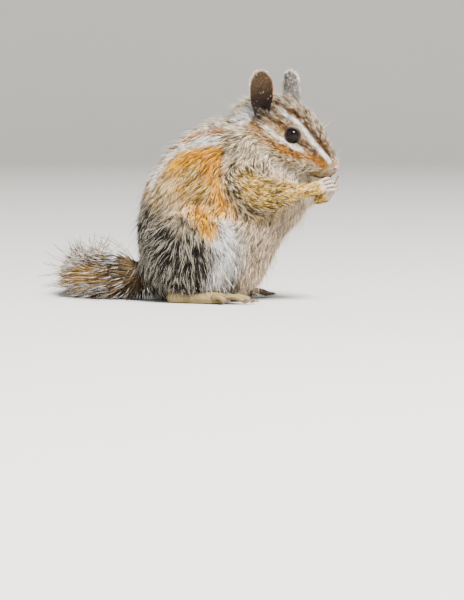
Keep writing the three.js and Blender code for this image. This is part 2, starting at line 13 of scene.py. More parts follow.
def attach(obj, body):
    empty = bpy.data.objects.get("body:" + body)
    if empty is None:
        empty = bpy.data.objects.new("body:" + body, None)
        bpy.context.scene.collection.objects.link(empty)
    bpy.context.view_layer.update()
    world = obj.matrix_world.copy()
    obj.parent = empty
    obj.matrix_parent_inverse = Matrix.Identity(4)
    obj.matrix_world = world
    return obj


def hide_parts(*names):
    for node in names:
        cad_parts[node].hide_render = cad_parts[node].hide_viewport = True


bl_info = {
    "name": "Chipmunk",
    "version": (1, 0, 0),
    "blender": (4, 5, 0),
    "location": "3D Viewport > Sidebar > Chipmunk",
    "description": "Skin, striped coat, face, claws and stage of a life-size chipmunk",
    "category": "Object",
}

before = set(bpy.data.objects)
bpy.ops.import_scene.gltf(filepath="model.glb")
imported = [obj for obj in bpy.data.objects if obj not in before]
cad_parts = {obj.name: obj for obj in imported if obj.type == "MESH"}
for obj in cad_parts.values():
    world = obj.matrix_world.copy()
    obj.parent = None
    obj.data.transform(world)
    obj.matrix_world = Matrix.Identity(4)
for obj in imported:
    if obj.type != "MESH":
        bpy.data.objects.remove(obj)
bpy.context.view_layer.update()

MM = 0.001
BODY = "root"

# Places, in millimetres in the model's frame unless a line says otherwise

HEAD_NOSE = np.array([55.2, -7.0, 47.2])
HEAD_TURN = math.radians(-17)
HEAD_NOD = math.radians(31)

# The trunk from seat to nape: a point of the back and one of the belly, each as (x, z).
TRUNK_BACK = [(-4, -0.9), (-11.6, 1.2), (-15, 7.5), (-16.9, 16.5), (-17.4, 26), (-15.9, 36), (-12.2, 45),
              (-5.8, 53.4), (3, 59.8), (12, 63.8), (20, 65.4)]
TRUNK_BELLY = [(5, -0.9), (14, 0.2), (25, 4.2), (30.2, 13), (34.6, 21.5), (40.4, 27.6), (43.8, 32.6),
               (47.2, 37.2), (47.6, 42.6), (44.4, 48), (35, 51)]

SHOULDER = np.array([16.5, 9.0, 48.0])
ELBOW = np.array([23.4, 13.2, 38.4])
WRIST = {"left": np.array([46.6, 1.2, 36.2]), "right": np.array([44.8, -13.2, 39.0])}
PALM = {"left": np.array([50.2, -1.0, 37.4]), "right": np.array([48.6, -12.0, 40.0])}
KNUCKLE = {"left": np.array([52.6, -2.6, 39.4]), "right": np.array([51.2, -10.4, 41.0])}
REACH = {"left": np.array([0.05, -0.5, 0.86]), "right": np.array([0.42, 0.8, -0.1])}
FINGER_LENGTH = 5.4
FINGER_SPREAD = 1.8

HEEL = np.array([-3.0, 14.0])
FOOT_SPLAY = math.radians(9)
FOOT_LENGTH = 22.0
# Each toe as its place across the foot, how far back it starts, its length and its yaw in degrees.
TOES = [(-3.5, 3.4, 6.6, -17), (-1.9, 0.4, 9.0, -7), (0.1, 0.0, 9.6, 0), (2.0, 0.6, 9.0, 8), (3.6, 4.2, 6.8, 20)]

TAIL_LINE = [(-4, 0, 10.5), (-14, 0.5, 9.4), (-25.5, 2.5, 8.2), (-35, 8.5, 7.8), (-40.4, 19, 7.6),
             (-42, 32, 7.4), (-40.6, 45, 7.0), (-37.6, 55, 6.4)]
TAIL_CORE = [5.6, 4.0, 3.2, 3.0, 2.8, 2.5, 1.9, 0.8]

EAR_ROOT = np.array([-28.6, 10.9, 0.6])
EAR_HEIGHT = 18.4
EAR_WIDTH = 9.2
EAR_RAKE = math.radians(-32)
EAR_OPEN = math.radians(15)
EAR_LEAN = math.radians(2)

EYE_CENTRE = np.array([-17.6, 8.05, 2.1])
EYE_FACING = np.array([0.36, 1.0, 0.2])
EYE_OPENING = 2.62

SIDES = {"left": 1.0, "right": -1.0}
FLESH = [
    "torso", "neck", "head", "ear_left", "ear_right", "haunch_left", "haunch_right",
    "upper_arm_left", "upper_arm_right", "forearm_left", "forearm_right",
    "forepaw_left", "forepaw_right", "hindfoot_left", "hindfoot_right",
]
FINE_PARTS = ("ear", "forepaw", "hindfoot")
TAIL_NODES = ["tail_root", "tail_middle", "tail_tip"]
REGIONS = FLESH + ["tail"]


def turn_z(angle):
    c, s = math.cos(angle), math.sin(angle)
    return np.array([[c, -s, 0], [s, c, 0], [0, 0, 1]])


def turn_y(angle):
    c, s = math.cos(angle), math.sin(angle)
    return np.array([[c, 0, s], [0, 1, 0], [-s, 0, c]])


def turn_x(angle):
    c, s = math.cos(angle), math.sin(angle)
    return np.array([[1, 0, 0], [0, c, -s], [0, s, c]])


HEAD_AXES = turn_z(HEAD_TURN) @ turn_y(HEAD_NOD)


def to_head(points):
    """Model points as seen from the head: forwards from the nose tip, to the left and up."""
    return (points - HEAD_NOSE) @ HEAD_AXES


def from_head(points):
    return np.asarray(points) @ HEAD_AXES.T + HEAD_NOSE


def ear_axes(side):
    straight = turn_z(math.radians(90 * (1 - side)) - EAR_OPEN * side)
    return turn_x(-EAR_LEAN * side) @ turn_y(EAR_RAKE) @ straight


def to_ear(points, side):
    """Model points as seen from an ear: across it, through it and up it from its root."""
    root = EAR_ROOT * np.array([1, side, 1])
    return (to_head(points) - root) @ ear_axes(side)


# Numbers

def unit(vectors):
    length = np.linalg.norm(vectors, axis=-1, keepdims=True)
    return vectors / np.maximum(length, 1e-9)


def smoothstep(low, high, value):
    t = np.clip((value - low) / (high - low), 0, 1)
    return t * t * (3 - 2 * t)


def mixed(a, b, share):
    share = np.asarray(share)[..., None]
    return a * (1 - share) + b * share


def wander(points, size, seed):
    """A smooth wavering value from about -1 to 1 for each point. Its waves are about size long."""
    draw = np.random.default_rng(seed)
    total = np.zeros(len(points))
    for _ in range(5):
        direction = unit(draw.normal(size=3))
        total += np.sin(points @ direction * (2 * math.pi / size) * draw.uniform(0.7, 1.5) + draw.uniform(0, 6.3))
    return total / 3


def distance_to_line(points, line):
    """How far each point is from a line through given points."""
    line = np.asarray(line, float)
    if len(line) == 1:
        return np.linalg.norm(points - line[0], axis=1)
    best = np.full(len(points), 1e9)
    for a, b in zip(line[:-1], line[1:]):
        along = b - a
        t = np.clip(((points - a) @ along) / (along @ along), 0, 1)
        best = np.minimum(best, np.linalg.norm(points - a - t[:, None] * along, axis=1))
    return best


def along_line(points, line):
    """The share of a line's corner list that is nearest to each point, and how far off it is."""
    line = np.asarray(line, float)
    best = np.full(len(points), 1e9)
    share = np.zeros(len(points))
    for i, (a, b) in enumerate(zip(line[:-1], line[1:])):
        along = b - a
        t = np.clip(((points - a) @ along) / (along @ along), 0, 1)
        off = np.linalg.norm(points - a - t[:, None] * along, axis=1)
        nearer = off < best
        best = np.where(nearer, off, best)
        share = np.where(nearer, i + t, share)
    return share / (len(line) - 1), best


def on_line(line, share):
    """Points at given shares of a line's corner list."""
    line = np.asarray(line, float)
    place = np.clip(share, 0, 1) * (len(line) - 1)
    i = np.minimum(place.astype(int), len(line) - 2)
    t = (place - i)[:, None]
    return line[i] * (1 - t) + line[i + 1] * t


def smooth_line(line, count):
    """A Catmull-Rom line through the given points, as count points."""
    line = np.asarray(line, float)
    padded = np.vstack([2 * line[0] - line[1], line, 2 * line[-1] - line[-2]])
    place = np.linspace(0, len(line) - 1 - 1e-9, count)
    i = place.astype(int)
    t = (place - i)[:, None]
    p0, p1, p2, p3 = padded[i], padded[i + 1], padded[i + 2], padded[i + 3]
    return 0.5 * (2 * p1 + (p2 - p0) * t + (2 * p0 - 5 * p1 + 4 * p2 - p3) * t**2 + (3 * p1 - p0 - 3 * p2 + p3) * t**3)


# Markings. Each stroke is a colour laid along a line with a soft edge, the same on both sides.

TINTS = {
    "shoulder": (0.74, 0.60, 0.40),
    "rump": (0.034, 0.030, 0.028),
    "tan": (0.76, 0.52, 0.25),
    "orange": (0.95, 0.41, 0.03),
    "flank": (0.86, 0.52, 0.14),
    "rufous": (0.40, 0.17, 0.05),
    "dark": (0.035, 0.024, 0.018),
    "silver": (0.74, 0.69, 0.64),
    "white": (0.95, 0.91, 0.85),
    "belly": (0.56, 0.44, 0.31),
    "arm_buff": (0.62, 0.40, 0.10),
    # Dark grizzled hair at the back of the arm, deepened as painted shade where the arm meets the flank.
    "arm_dark": (0.085, 0.065, 0.045),
    "crown": (0.27, 0.18, 0.10),
    "crown_edge": (0.075, 0.028, 0.008),
    "eye_line": (0.12, 0.05, 0.014),
    "cheek_line": (0.42, 0.165, 0.02),
    "cheek": (0.50, 0.34, 0.15),
    "muzzle": (0.42, 0.29, 0.20),
    "throat": (0.80, 0.69, 0.55),
    "thigh": (0.95, 0.94, 0.92),
    "lid": (0.035, 0.02, 0.014),
    # Near black: painted shade in the hollow of the ear cup and at the ear's root.
    "ear_inside": (0.016, 0.008, 0.005),
    "ear_hair": (0.085, 0.052, 0.028),
    "ear_rim": (0.55, 0.38, 0.22),
    # The crease tint is painted shade in the crease between thigh and belly.
    "crease": (0.26, 0.21, 0.165),
    "ear_front": (0.36, 0.15, 0.035),
    "ear_back": (0.19, 0.175, 0.165),
    "hand": (0.40, 0.33, 0.27),
    "foot": (0.22, 0.165, 0.08),
    "tail_root": (0.045, 0.034, 0.025),
    "tail_ochre": (0.36, 0.22, 0.075),
}

# Strokes of the body: name of the tint, reach of full colour, softness, strength, share of ticked hair, line.
BODY_STROKES = [
    ("tan", 6.0, 3.5, 0.9, 0.6, [(-7.7, 8.9, 43.3), (-8.9, 9.8, 38.5), (-7, 12.4, 34.1), (-1.3, 15.4, 34.3)]),
    ("flank", 6.5, 3.5, 0.95, 0.6, [(1.5, 12.3, 46.5), (4.6, 14, 43.1), (7.6, 15.1, 39.7), (11.3, 15.8, 36.3)]),
    ("orange", 3.3, 2.0, 1.0, 0.4, [(11.6, 13.2, 52.2), (7.1, 12.5, 52.2), (2.6, 11.4, 51.6), (-1.5, 10.6, 49.2)]),
    ("orange", 3.2, 2.2, 0.95, 0.45, [(9.4, 13.4, 50.9), (11.6, 14.5, 46.8), (13.0, 15.6, 42.7), (15.2, 16.2, 38.2),
                                      (16.4, 16.4, 33.6), (17.2, 16.5, 29.4)]),
    ("silver", 1.0, 1.0, 0.9, 0.35, [(12.5, 6.8, 61.8), (5, 4.6, 60), (-2, 2.7, 55.7), (-8, 1.9, 50.2),
                                      (-12.6, 1.8, 44), (-15.2, 2.2, 37.5), (-16.6, 2.8, 30)]),
    ("rufous", 1.25, 1.0, 0.95, 0.2, [(14.2, 10.2, 59.4), (6.4, 7.6, 58.6), (0.3, 5.4, 56.6), (-5.2, 4.3, 52.2),
                                     (-9.4, 3.8, 47), (-12.4, 3.9, 41.8), (-14.2, 4.6, 36)]),
    ("white", 1.6, 0.9, 1.0, 0.06, [(12.2, 12, 56.4), (5.7, 10.1, 55.8), (0.7, 8.1, 54.6), (-3.5, 6.7, 52.3),
                                    (-6.8, 6.1, 49.4), (-9.6, 6.1, 45.6), (-11.4, 6.6, 41.2)]),
    ("dark", 0.7, 0.9, 0.9, 0.2, [(16, 0, 65), (8, 0, 62.4), (0, 0, 58.2), (-7, 0, 52.4), (-12.6, 0, 45), (-16, 0, 36),
                                  (-17.3, 0, 28)]),
]
LATE_STROKES = [
    ("dark", 0.6, 1.5, 0.55, 0.5, [(0.4, 14.4, 37.5), (4.1, 15.2, 36.5), (8.5, 15.9, 35.6), (12.8, 16, 35.0)]),
    ("thigh", 4.2, 4.0, 1.0, 0.2, [(17.0, 18.8, 23.4), (18.6, 18.4, 18.6), (18.0, 17.4, 12.4), (15.6, 16, 6.7)]),
    # A darker line along the front edge of the thigh: painted shade in the crease between thigh and belly.
    ("crease", 0.6, 1.8, 0.8, 0.3, [(21.6, 17, 25), (22.8, 16.5, 17), (22.2, 15.5, 10), (20.4, 14.5, 5)]),
    ("orange", 2.5, 2.4, 0.95, 0.25, [(7.5, 19.4, 31.2), (10.4, 20.4, 28.4), (12.6, 21, 25.4)]),
]
ARM_STROKES = [
    ("orange", 1.6, 2.0, 0.85, 0.2, [(9.8, 14, 48), (12.4, 15.6, 42), (15, 16.6, 36), (16.6, 16.6, 31)]),
    # Along the back and under edge of the arm: dark grizzled hair, and painted shade in the gap between arm and flank.
    ("arm_dark", 1.6, 2.6, 0.65, 0.8, [(13.0, 13.3, 52.6), (15.7, 14.3, 48.9), (17.8, 16, 44.2), (20.2, 17.6, 38.8),
                                       (22.6, 18, 33.9), (27.8, 16.4, 31.6), (33.4, 14, 32.2)]),
]
# Strokes of the head, in its own frame.
HEAD_STROKES = [
    ("crown_edge", 0.75, 1.0, 0.9, 0.5, [(-30, 6.3, 9.6), (-24.5, 6.2, 8.8), (-21.1, 5.6, 8.8), (-17.7, 5.2, 8),
                                         (-13.8, 5.0, 6.2), (-9.4, 3.9, 4.7), (-4.1, 2.6, 2.1)]),
    ("white", 0.55, 0.65, 1.0, 0.2, [(-25.8, 8.5, 7), (-21.8, 8, 6.9), (-18, 7.3, 6.5),
                                     (-15.1, 6.6, 5.4), (-12.3, 5.9, 4), (-7.9, 4.8, 2.4), (-3.1, 3.2, 0.6)]),
    ("eye_line", 0.85, 0.9, 1.0, 0.4, [(-29.5, 10.3, 4.6), (-25.9, 10.5, 4), (-23.4, 10.4, 3.5), (-20.2, 9.9, 2.9)]),
    ("eye_line", 0.75, 0.9, 0.95, 0.4, [(-13.3, 7.6, 1.6), (-11.2, 6.6, 1.1), (-8.9, 5.8, 0.4), (-5.9, 5.1, -0.5),
                                        (-3.3, 4.1, -1.2)]),
    ("white", 0.5, 0.6, 1.0, 0.2, [(-27.2, 12.1, 0.0), (-24.8, 11.9, -0.2), (-21.6, 11.5, -0.7),
                                    (-19.2, 10.8, -0.9), (-16.8, 10, -1.1), (-14.3, 8.9, -1), (-12.2, 7.8, -0.7)]),
    ("cheek_line", 1.05, 0.9, 0.95, 0.6, [(-31.5, 12.4, -2.2), (-27.4, 12.4, -3.1), (-24.7, 12.2, -3.8),
                                           (-21, 11.7, -3.8), (-17.1, 10.6, -3.4), (-13.1, 8.8, -2.7),
                                           (-9, 6.7, -1.8), (-5.8, 5.3, -1.5), (-3.5, 4.3, -1.5)]),
    ("lid", 0.45, 0.5, 1.0, 0.0, [(-14.2, 8.6, 1.3), (-13.0, 8.0, 0.95), (-12.3, 7.5, 0.9)]),
    ("white", 2.8, 2.0, 1.0, 0.25, [(-38.5, 11, -4), (-37, 11.6, -0.5), (-35.8, 11.8, 2.5)]),
    ("crown", 1.9, 1.4, 0.95, 0.9, [(-30, 11.8, 1.0), (-28.6, 11.4, 3.2), (-27, 10.4, 5.6)]),
    # Near black where the ear rises from the head: painted shade at the ear's root.
    ("ear_inside", 1.1, 1.0, 0.95, 0.1, [(-30.6, 10.7, 1.4), (-31.8, 9.5, 2.2), (-31.4, 8.7, 3.6)]),
]


def tint(name):
    return np.array(TINTS[name])


def settled(strokes, tree, outwards=np.asarray, inwards=np.asarray):
    """The same strokes with their lines smoothed and moved to the nearest points of a surface."""
    moved = []
    for *kind, line in strokes:
        places = [tree.find_nearest(Vector(p))[0] for p in outwards(smooth_line(line, 3 * len(line)))]
        moved.append((*kind, inwards(np.array(places))))
    return moved


def settle_strokes(tree):
    BODY_STROKES[:] = settled(BODY_STROKES, tree)
    LATE_STROKES[:] = settled(LATE_STROKES, tree)
    ARM_STROKES[:] = settled(ARM_STROKES, tree)
    HEAD_STROKES[:] = settled(HEAD_STROKES, tree, from_head, to_head)


def laid(colour, tick, points, strokes):
    """Lays soft strokes of colour over what is there, and with each its share of ticked hair."""
    for name, reach, soft, strength, ticked, line in strokes:
        off = distance_to_line(points, line)
        share = strength * (1 - smoothstep(reach - soft * 0.3, reach + soft, off))
        colour = mixed(colour, tint(name), share)
        tick = tick * (1 - share) + ticked * share
    return colour, tick


def frayed(points, amount, seed):
    """The points, moved a little this way and that, so that the edges of the markings are uneven."""
    moves = np.stack([wander(points, 2.6, seed + k) + 0.6 * wander(points, 1.1, seed + 7 + k) for k in range(3)], 1)
    return points + moves * amount


def body_colour(points):
    p = frayed(points, 0.45, 5)
    p[:, 1] = np.abs(p[:, 1])
    trunk_share, across = trunk_place(p)
    tick = np.full(len(p), 0.9)
    colour = np.tile(tint("shoulder"), (len(p), 1))
    colour, tick = laid(colour, tick, p, BODY_STROKES)
    low = (1 - smoothstep(20, 33, p[:, 2] + 0.5 * p[:, 0] + 2.2 * wander(p, 9, 3))) ** 0.6
    colour = mixed(colour, tint("rump"), low)
    tick = tick * (1 - low) + 0.72 * low
    front = smoothstep(0.60, 0.74, across) * smoothstep(16, 24, p[:, 0] + 0.2 * p[:, 2])
    colour = mixed(colour, tint("belly"), front)
    tick = tick * (1 - front) + 0.12 * front
    return laid(colour, tick, p, LATE_STROKES)


def arm_colour(points):
    p = frayed(points, 0.4, 9)
    p[:, 1] = np.abs(p[:, 1])
    colour = mixed(np.tile(tint("shoulder"), (len(p), 1)), tint("arm_buff"), smoothstep(14, 24, p[:, 0]))
    colour, tick = laid(colour, np.full(len(p), 0.9), p, ARM_STROKES)
    return colour, tick


def past_wrist(points):
    """How far each point lies past the wrist of the nearer paw, towards the knuckles."""
    reach, nearest = np.zeros(len(points)), np.full(len(points), 1e9)
    for name in SIDES:
        off = np.linalg.norm(points - PALM[name], axis=1)
        mine = off < nearest
        along = (points - WRIST[name]) @ unit(KNUCKLE[name] - WRIST[name])
        reach, nearest = np.where(mine, along, reach), np.where(mine, off, nearest)
    return reach


def hand_colour(points):
    """The fur of the arm down to the knuckles, then the bare fingers."""
    colour, tick = arm_colour(points)
    bare = smoothstep(3.2, 6.4, past_wrist(points))
    return mixed(colour, tint("hand"), bare), tick * (1 - bare)


def head_colour(points):
    p = frayed(to_head(points), 0.16, 21)
    side = np.abs(p[:, 1])
    p[:, 1] = side
    behind = -p[:, 0]
    high = smoothstep(-1.0, 4.5, p[:, 2] - 0.1 * (behind - 15))
    colour = mixed(tint("cheek")[None] * np.ones((len(p), 1)), tint("crown"), high)
    tick = 0.7 + 0.3 * high
    throat = 1 - smoothstep(-9.5, -6.5, p[:, 2])
    colour = mixed(colour, tint("throat"), throat)
    back = smoothstep(31, 38, behind)
    colour = mixed(colour, tint("shoulder"), back)
    colour, tick = laid(colour, tick, p, HEAD_STROKES)
    ring = np.linalg.norm(p - EYE_CENTRE, axis=1)
    colour = mixed(colour, tint("lid"), 1 - smoothstep(3.3, 3.55, ring))
    muzzle = 1 - smoothstep(0.6, 3.2, behind)
    colour = mixed(colour, tint("muzzle"), muzzle)
    return colour, tick * (1 - muzzle)


def ear_colour(points, normals):
    side = np.where(to_head(points)[:, 1] > 0, 1.0, -1.0)
    colour, tick = np.zeros((len(points), 3)), np.zeros(len(points))
    for sign in SIDES.values():
        mine = side == sign
        if not mine.any():
            continue
        local = to_ear(points[mine], sign)
        facing = (normals[mine] @ HEAD_AXES) @ ear_axes(sign)
        up = local[:, 2] / EAR_HEIGHT
        forwards = local[:, 0] * sign / (EAR_WIDTH / 2)
        inside = smoothstep(0.0, 0.5, facing[:, 1])
        outline = np.hypot(forwards, np.clip(up - 0.62, 0, 1) / 0.38)
        rim = smoothstep(0.80, 0.97, outline)
        edge = np.maximum(smoothstep(-0.35, -0.8, forwards), 0.9 * rim) * smoothstep(0.12, 0.35, up)
        shade = mixed(np.tile(tint("ear_back"), (len(local), 1)), tint("white"), edge)
        shade = mixed(shade, tint("ear_front"), smoothstep(0.5, 0.9, forwards) * smoothstep(-0.45, 0.05, facing[:, 1]))
        # The cup is near black at its base as painted shade in the hollow of the ear, with dark hair higher up.
        cup = mixed(np.tile(tint("ear_inside"), (len(local), 1)), tint("ear_hair"), smoothstep(0.35, 0.8, up))
        shade = mixed(shade, cup, inside * (1 - rim))
        shade = mixed(shade, tint("ear_rim"), 0.8 * rim * inside * (1 - smoothstep(0.4, 0.9, forwards)))
        colour[mine] = shade
        tick[mine] = 0.9 - 0.82 * inside
    return colour, tick


def trunk_place(points):
    """Where each point is along the trunk, from seat to nape, and across it, from back to belly."""
    flat = points[:, [0, 2]]
    back, belly = np.array(TRUNK_BACK, float), np.array(TRUNK_BELLY, float)
    share, _ = along_line(flat, (back + belly) / 2)
    a, b = on_line(back, share), on_line(belly, share)
    reach = b - a
    across = ((flat - a) * reach).sum(1) / (reach * reach).sum(1)
    return share, across


def clumped(points, size, seed):
    """A random share from 0 to 1 for each point, the same for all the points of one small lock."""
    moved = points + 0.3 * size * np.stack([wander(points, size * 2.3, seed + k) for k in range(3)], 1)
    cells = np.floor(moved / size)
    return np.abs(np.modf(np.sin(cells @ [12.9898, 78.233, 37.719] + seed) * 43758.5453)[0])


def shaded_creases(evener, points, normals, parts):
    """How much light each point keeps in the creases between fingers and toes, from 0.25 to 1."""
    hollow = ((evener.mean(points) - points) * normals).sum(1)
    hollow = evener.even(np.clip(hollow / 0.02, 0, 1.5), 2)
    return np.clip(1 - hollow * np.maximum(parts["hand"], parts["foot"]), 0.25, 1)


def markings(points, normals, parts):
    """Colour and share of ticked hair at each point. parts holds how much each point belongs to a part."""
    colour, tick = body_colour(points)
    for name, (shade, ticked) in {
        "arm": arm_colour(points),
        "head": head_colour(points),
        "ear": ear_colour(points, normals),
        "hand": hand_colour(points),
        "foot": (np.tile(tint("foot"), (len(points), 1)), np.full(len(points), 0.6)),
        "tail": (np.tile(tint("tail_ochre") * 0.5, (len(points), 1)), np.full(len(points), 0.3)),
    }.items():
        colour = mixed(colour, shade, parts[name])
        tick = tick * (1 - parts[name]) + ticked * parts[name]
    blotch = 1 + 0.10 * wander(points, 7, 31) + 0.08 * wander(points, 2.2, 37)
    return np.clip(colour * blotch[:, None], 0.003, 0.95), tick


# Meshes

def only(obj):
    """Makes obj the one selected and active object."""
    bpy.ops.object.select_all(action="DESELECT")
    obj.select_set(True)
    bpy.context.view_layer.objects.active = obj
    return obj


def linked(name, data):
    obj = bpy.data.objects.new(name, data)
    bpy.context.scene.collection.objects.link(obj)
    return obj


def tubes(name, lines, sides=6):
    """A mesh of round tapered tubes. Each line is its points and its radii, in millimetres."""
    curve = bpy.data.curves.new(name, "CURVE")
    curve.dimensions = "3D"
    curve.bevel_depth = MM
    curve.bevel_resolution = max(0, sides // 2 - 2)
    curve.use_fill_caps = True
    for points, radii in lines:
        spline = curve.splines.new("POLY")
        spline.points.add(len(points) - 1)
        for corner, place, radius in zip(spline.points, points, radii):
            corner.co = (*(np.asarray(place) * MM), 1)
            corner.radius = radius
    obj = only(linked(name, curve))
    bpy.ops.object.convert(target="MESH")
    obj = bpy.context.view_layer.objects.active
    bpy.ops.object.mode_set(mode="EDIT")
    bpy.ops.mesh.select_all(action="SELECT")
    bpy.ops.mesh.remove_doubles(threshold=1e-7)
    bpy.ops.mesh.normals_make_consistent(inside=False)
    bpy.ops.object.mode_set(mode="OBJECT")
    bpy.ops.object.shade_smooth()
    return obj


def coords(mesh):
    flat = np.empty(len(mesh.vertices) * 3, np.float32)
    mesh.vertices.foreach_get("co", flat)
    return flat.reshape(-1, 3).astype(float) / MM


def put_coords(mesh, points):
    mesh.vertices.foreach_set("co", (points * MM).astype(np.float32).ravel())
    mesh.update()


def vertex_normals(mesh):
    flat = np.empty(len(mesh.vertices) * 3, np.float32)
    mesh.vertex_normals.foreach_get("vector", flat)
    return flat.reshape(-1, 3).astype(float)


def put_colour(mesh, name, colour):
    layer = mesh.color_attributes.new(name, "FLOAT_COLOR", "POINT")
    rgba = np.ones((len(colour), 4), np.float32)
    rgba[:, :3] = colour
    layer.data.foreach_set("color", rgba.ravel())


class Evener:
    """Averages a value over the neighbours of each vertex of a mesh."""

    def __init__(self, mesh):
        ends = np.empty(len(mesh.edges) * 2, np.int32)
        mesh.edges.foreach_get("vertices", ends)
        ends = ends.reshape(-1, 2)
        self.a = np.concatenate([ends[:, 0], ends[:, 1]])
        self.b = np.concatenate([ends[:, 1], ends[:, 0]])
        self.count = len(mesh.vertices)
        self.near = np.maximum(np.bincount(self.a, minlength=self.count), 1)

    def mean(self, value):
        if value.ndim == 1:
            return np.bincount(self.a, value[self.b], self.count) / self.near
        return np.stack([self.mean(value[:, k]) for k in range(value.shape[1])], 1)

    def even(self, value, rounds):
        for _ in range(rounds):
            value = 0.5 * value + 0.5 * self.mean(value)
        return value


def principled(name, sockets):
    """A material on one Principled shader, with plain values on the named sockets."""
    material = bpy.data.materials.new(name)
    material.use_nodes = True
    shader = material.node_tree.nodes["Principled BSDF"]
    for socket, value in sockets.items():
        shader.inputs[socket].default_value = value
    return material, material.node_tree, shader


def speckled_colour(tree, shader, scale, low, high):
    """Feeds the shader the piece's own markings, with the shade painted into them, broken up by fine noise."""
    marks = tree.nodes.new("ShaderNodeAttribute")
    marks.attribute_name = "markings"
    where = tree.nodes.new("ShaderNodeTexCoord")
    noise = tree.nodes.new("ShaderNodeTexNoise")
    noise.inputs["Scale"].default_value = scale
    noise.inputs["Detail"].default_value = 2
    spread = tree.nodes.new("ShaderNodeMapRange")
    spread.inputs["To Min"].default_value = low
    spread.inputs["To Max"].default_value = high
    product = tree.nodes.new("ShaderNodeVectorMath")
    product.operation = "SCALE"
    tree.links.new(where.outputs["Object"], noise.inputs["Vector"])
    tree.links.new(noise.outputs["Fac"], spread.inputs["Value"])
    tree.links.new(marks.outputs["Color"], product.inputs[0])
    tree.links.new(spread.outputs["Result"], product.inputs["Scale"])
    tree.links.new(product.outputs["Vector"], shader.inputs["Base Color"])
    return noise


def fur_material(name, roughness, sheen):
    material, tree, shader = principled(name, {
        "Roughness": roughness, "Specular IOR Level": 0.12, "Sheen Weight": sheen, "Sheen Roughness": 0.5,
    })
    speckled_colour(tree, shader, 900, 0.85, 1.15)
    return material


def bumpy_material(name, sockets, scale, strength):
    """Marked skin with a fine grain in its surface."""
    material, tree, shader = principled(name, sockets)
    noise = speckled_colour(tree, shader, scale, 0.8, 1.2)
    bump = tree.nodes.new("ShaderNodeBump")
    bump.inputs["Strength"].default_value = strength
    bump.inputs["Distance"].default_value = 0.0002
    tree.links.new(noise.outputs["Fac"], bump.inputs["Height"])
    tree.links.new(bump.outputs["Normal"], shader.inputs["Normal"])
    return material


# Sizes and colours that a user would change

class SkinSettings(bpy.types.PropertyGroup):
    mesh_size: FloatProperty(name="Mesh size", description="Width of one face of the skin of the body",
                             default=0.63 * MM, unit="LENGTH", precision=5)
    fine_size: FloatProperty(name="Fine mesh size", description="Width of one face on ears, paws and feet",
                             default=0.28 * MM, unit="LENGTH", precision=5)
    swell: FloatProperty(name="Swell", description="How far the solids are swollen to close the gaps between them",
                         default=0.28 * MM, unit="LENGTH", precision=5)
    body_depth: FloatProperty(name="Body depth", description="Depth of the coat on the body", default=1.8 * MM,
                              unit="LENGTH", precision=5)
    face_depth: FloatProperty(name="Face depth", description="Depth of the coat at the muzzle", default=0.3 * MM,
                              unit="LENGTH", precision=5)
    paw_depth: FloatProperty(name="Paw depth", description="Depth of the down on paws and ears", default=0.12 * MM,
                             unit="LENGTH", precision=5)


class CoatSettings(bpy.types.PropertyGroup):
    body_length: FloatProperty(name="Body hair", description="Length of a tuft on the body", default=4.2 * MM,
                               unit="LENGTH", precision=5)
    haunch_length: FloatProperty(name="Haunch hair", description="Length of a tuft on the haunch", default=4.8 * MM,
                                 unit="LENGTH", precision=5)
    down_length: FloatProperty(name="Down", description="Length of a tuft on ears, paws and feet",
                               default=0.8 * MM, unit="LENGTH", precision=5)
    tail_length: FloatProperty(name="Tail hair", description="Length of a tuft of the brush", default=10.5 * MM,
                               unit="LENGTH", precision=5)
    tuft_width: FloatProperty(name="Tuft width", description="Width of a body tuft at its root", default=0.34 * MM,
                              unit="LENGTH", precision=5)
    thickness: FloatProperty(name="Density", description="Share of the full number of tufts", default=1.0,
                             min=0.05, max=1.0)
    pale_tip: FloatVectorProperty(name="Pale tips", description="Colour of the pale tips of ticked hair",
                                  default=(0.92, 0.83, 0.68), subtype="COLOR")
    frost: FloatVectorProperty(name="Frost", description="Colour of the tips of the tail", subtype="COLOR",
                               default=(0.78, 0.79, 0.82))
    band: FloatVectorProperty(name="Band", description="Colour of the dark band of tail hair", subtype="COLOR",
                              default=(0.02, 0.016, 0.014))
    seed: IntProperty(name="Seed", description="Start of the random draws", default=4)


class FaceSettings(bpy.types.PropertyGroup):
    eye_colour: FloatVectorProperty(name="Eye", description="Colour of the eye", default=(0.004, 0.0025, 0.002),
                                    subtype="COLOR")
    lid_colour: FloatVectorProperty(name="Lids", description="Colour of the rims of the lids",
                                    default=(0.012, 0.008, 0.007), subtype="COLOR")
    nose_colour: FloatVectorProperty(name="Nose", description="Colour of the nose pad", default=(0.36, 0.22, 0.19),
                                     subtype="COLOR")
    lid_rise: FloatProperty(name="Lids stand off", description="How far the lids stand off the eyeball",
                            default=0.46 * MM, unit="LENGTH", precision=5)
    whisker_length: FloatProperty(name="Whiskers", description="Length of the longest whiskers", default=17 * MM,
                                  unit="LENGTH", precision=5)


class ClawSettings(bpy.types.PropertyGroup):
    foot_claw: FloatProperty(name="Hind claw", description="Length of a claw of the hind foot", default=2.4 * MM,
                             unit="LENGTH", precision=5)
    hand_claw: FloatProperty(name="Fore claw", description="Length of a claw of the forepaw", default=0.8 * MM,
                             unit="LENGTH", precision=5)
    colour: FloatVectorProperty(name="Claws", description="Colour of the claws", default=(0.06, 0.04, 0.03),
                                subtype="COLOR")


class StageSettings(bpy.types.PropertyGroup):
    floor_colour: FloatVectorProperty(name="Floor", description="Colour of the floor", default=(0.6, 0.595, 0.58),
                                      subtype="COLOR")
    key_power: FloatProperty(name="Key light", description="Power of the main light in watts", default=108.0)
    fill_power: FloatProperty(name="Fill light", description="Power of the fill light in watts", default=4.0)
    distance: FloatProperty(name="Camera distance", description="From the camera to the animal", default=1.2,
                            unit="LENGTH")


# Skin

built = {}


